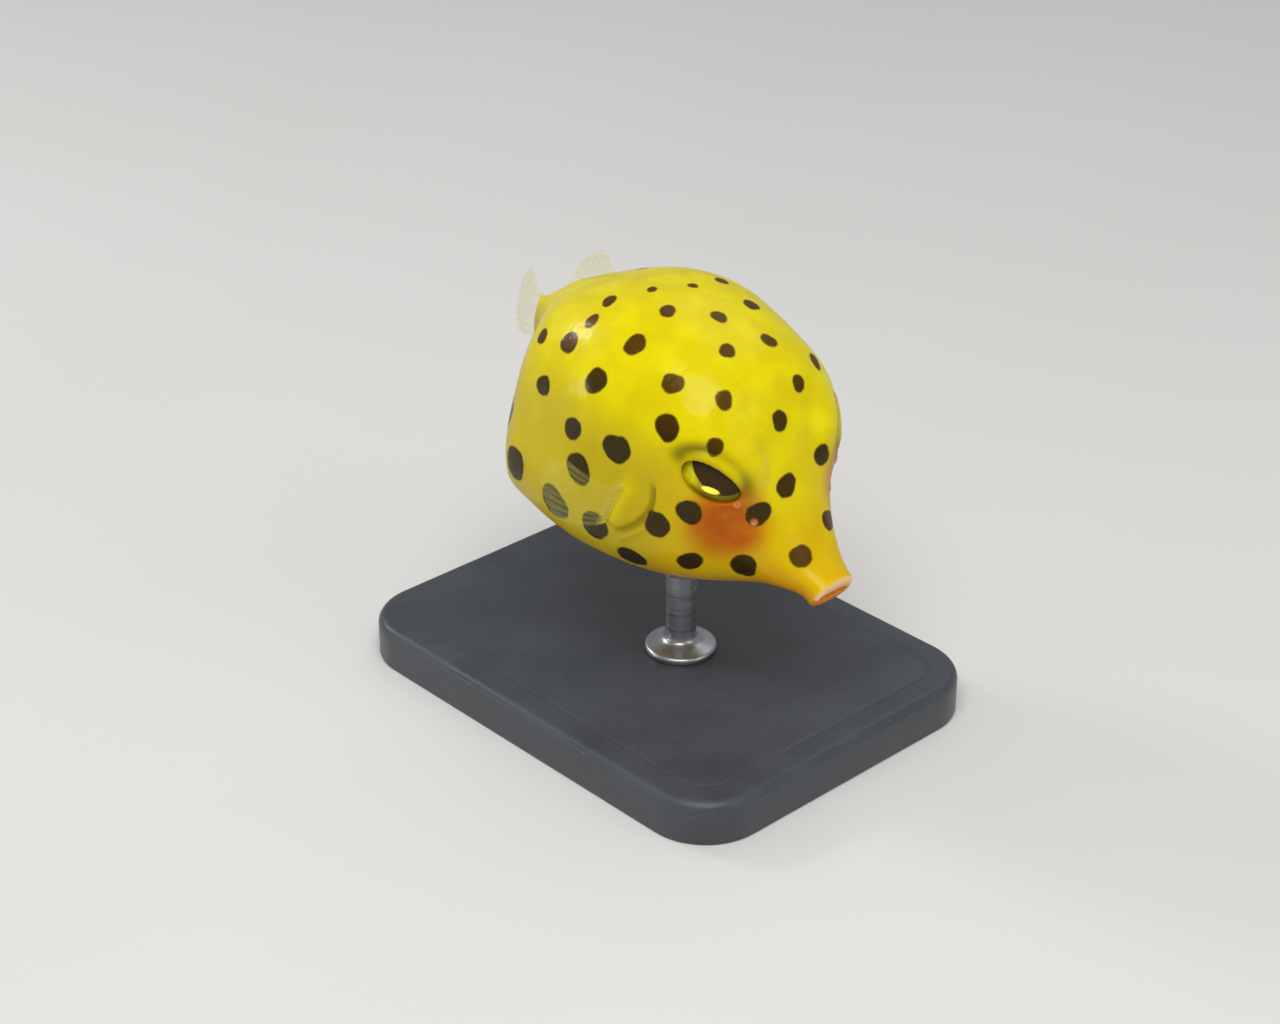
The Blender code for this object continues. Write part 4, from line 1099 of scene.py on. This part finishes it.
def slateMaterial():
    # cloudy grey with pale grains
    material, tree, shader = newMaterial("slateGrey", Roughness=0.45)
    where = placeOf(tree)
    cloud, grain = noise(tree, 0.22, 5, where), noise(tree, 6.0, 2, where)
    color = mix(tree, ramp(tree, cloud, 0.3, 0.7), (62, 66, 71), (70, 74, 80))
    color = mix(tree, ramp(tree, grain, 0.62, 0.72, 0, 0.4), color, (112, 116, 122))
    wire(tree, shader, Base_Color=color, Roughness=ramp(tree, cloud, 0.3, 0.7, 0.38, 0.52),
         Normal=bump(tree, grain, 0.25, 0.03))
    return material


def steelMaterial():
    # fine turning marks round the rod
    material, tree, shader = newMaterial("brushedSteel", Metallic=1.0, Roughness=0.3)
    where = addNode(tree, "ShaderNodeTexCoord").outputs["Object"]
    lines = addNode(tree, "ShaderNodeMapping", {"Vector": where, "Scale": (200, 200, 5000)}).outputs[0]
    turned = noise(tree, 1.0, 2.0, lines)
    color = mix(tree, turned, (176, 178, 182), (206, 208, 210))
    wire(tree, shader, Base_Color=color, Roughness=ramp(tree, turned, 0.2, 0.8, 0.24, 0.4),
         Normal=bump(tree, turned, 0.1, 0.02))
    return material


def linerMaterial():
    # dark felt
    material, tree, shader = newMaterial("cupLiner", Roughness=0.8)
    fuzz = noise(tree, 9.0, 3)
    color = mix(tree, fuzz, (40, 40, 42), (66, 66, 70))
    wire(tree, shader, Base_Color=color, Normal=bump(tree, fuzz, 0.5, 0.05))
    return material


makeBase(slateMaterial())
makeRod(steelMaterial(), linerMaterial())
print("stand made")


# Floor, lights and camera

studio = {
    "floor": 1.6,
    # softboxes: angle round, angle up, distance, size, watts
    "lamps": (("key", 42, 59, 0.36, 0.27, 0.9), ("fill", 105, 28, 0.4, 0.3, 0.16),
              ("rim", -72, 28, 0.3, 0.07, 0.16), ("low", -42, 5, 0.3, 0.05, 0.05),
              ("back", 200, 55, 0.45, 0.3, 0.18)),
    "sky": ((0.9, 0.92, 0.95, 1), 0.3),
    "camera": {"round": 47, "up": 28.5, "distance": 196.0, "aside": -4.443, "rise": -5.099, "lens": 74.8},
}


def makeFloor():
    # a plain square under the stand
    half = studio["floor"] / 2
    points = np.array([(-half, -half, 0), (half, -half, 0), (half, half, 0), (-half, half, 0)])
    piece = meshFrom("floor", points, np.array([(0, 1, 2, 3)]), np.zeros((0, 3), int))
    material, tree, shader = newMaterial("paleFloor", Roughness=0.85)
    color = mix(tree, noise(tree, 0.02, 2), (226, 224, 220), (232, 230, 227))
    wire(tree, shader, Base_Color=color)
    piece.data.materials.append(material)


def axesAt(roundAngle, upAngle):
    # right, up and back of something that looks at the fish from those angles in degrees
    a, b = math.radians(roundAngle), math.radians(upAngle)
    back = np.array([math.sin(a) * math.cos(b), -math.cos(a) * math.cos(b), math.sin(b)])
    right = np.array([math.cos(a), math.sin(a), 0])
    return right, np.cross(back, right), back


def addAt(name, data, axes, place):
    # a lamp or camera from its data, its three axes and its place
    matrix = np.eye(4)
    matrix[:3, :3], matrix[:3, 3] = np.transpose(axes), place
    piece = bpy.data.objects.new(name, data)
    bpy.context.scene.collection.objects.link(piece)
    piece.matrix_world = Matrix(matrix.tolist())
    return piece


def makeLights():
    # round area lamps that face the fish, and a faint pale sky
    target = np.array(pose["at"]) * mm
    for name, roundAngle, upAngle, distance, size, watts in studio["lamps"]:
        lamp = bpy.data.lights.new(name, "AREA")
        lamp.shape, lamp.size, lamp.energy = "DISK", size, watts
        axes = axesAt(roundAngle, upAngle)
        addAt(name, lamp, axes, target + axes[2] * distance)
    world = bpy.data.worlds.new("studio")
    world.use_nodes = True
    background = world.node_tree.nodes["Background"]
    background.inputs[0].default_value, background.inputs[1].default_value = studio["sky"]
    bpy.context.scene.world = world


def makeCamera():
    # at the photo's angle; the fish stands a little off the middle, as there
    view = studio["camera"]
    right, up, back = axesAt(view["round"], view["up"])
    data = bpy.data.cameras.new("camera")
    data.lens, data.clip_start = view["lens"], 0.01
    place = np.array(pose["at"]) + back * view["distance"] + right * view["aside"] + up * view["rise"]
    bpy.context.scene.camera = addAt("camera", data, (right, up, back), place * mm)


makeFloor()
makeLights()
makeCamera()
bpy.context.scene.view_settings.view_transform = "Standard"
print("studio made")
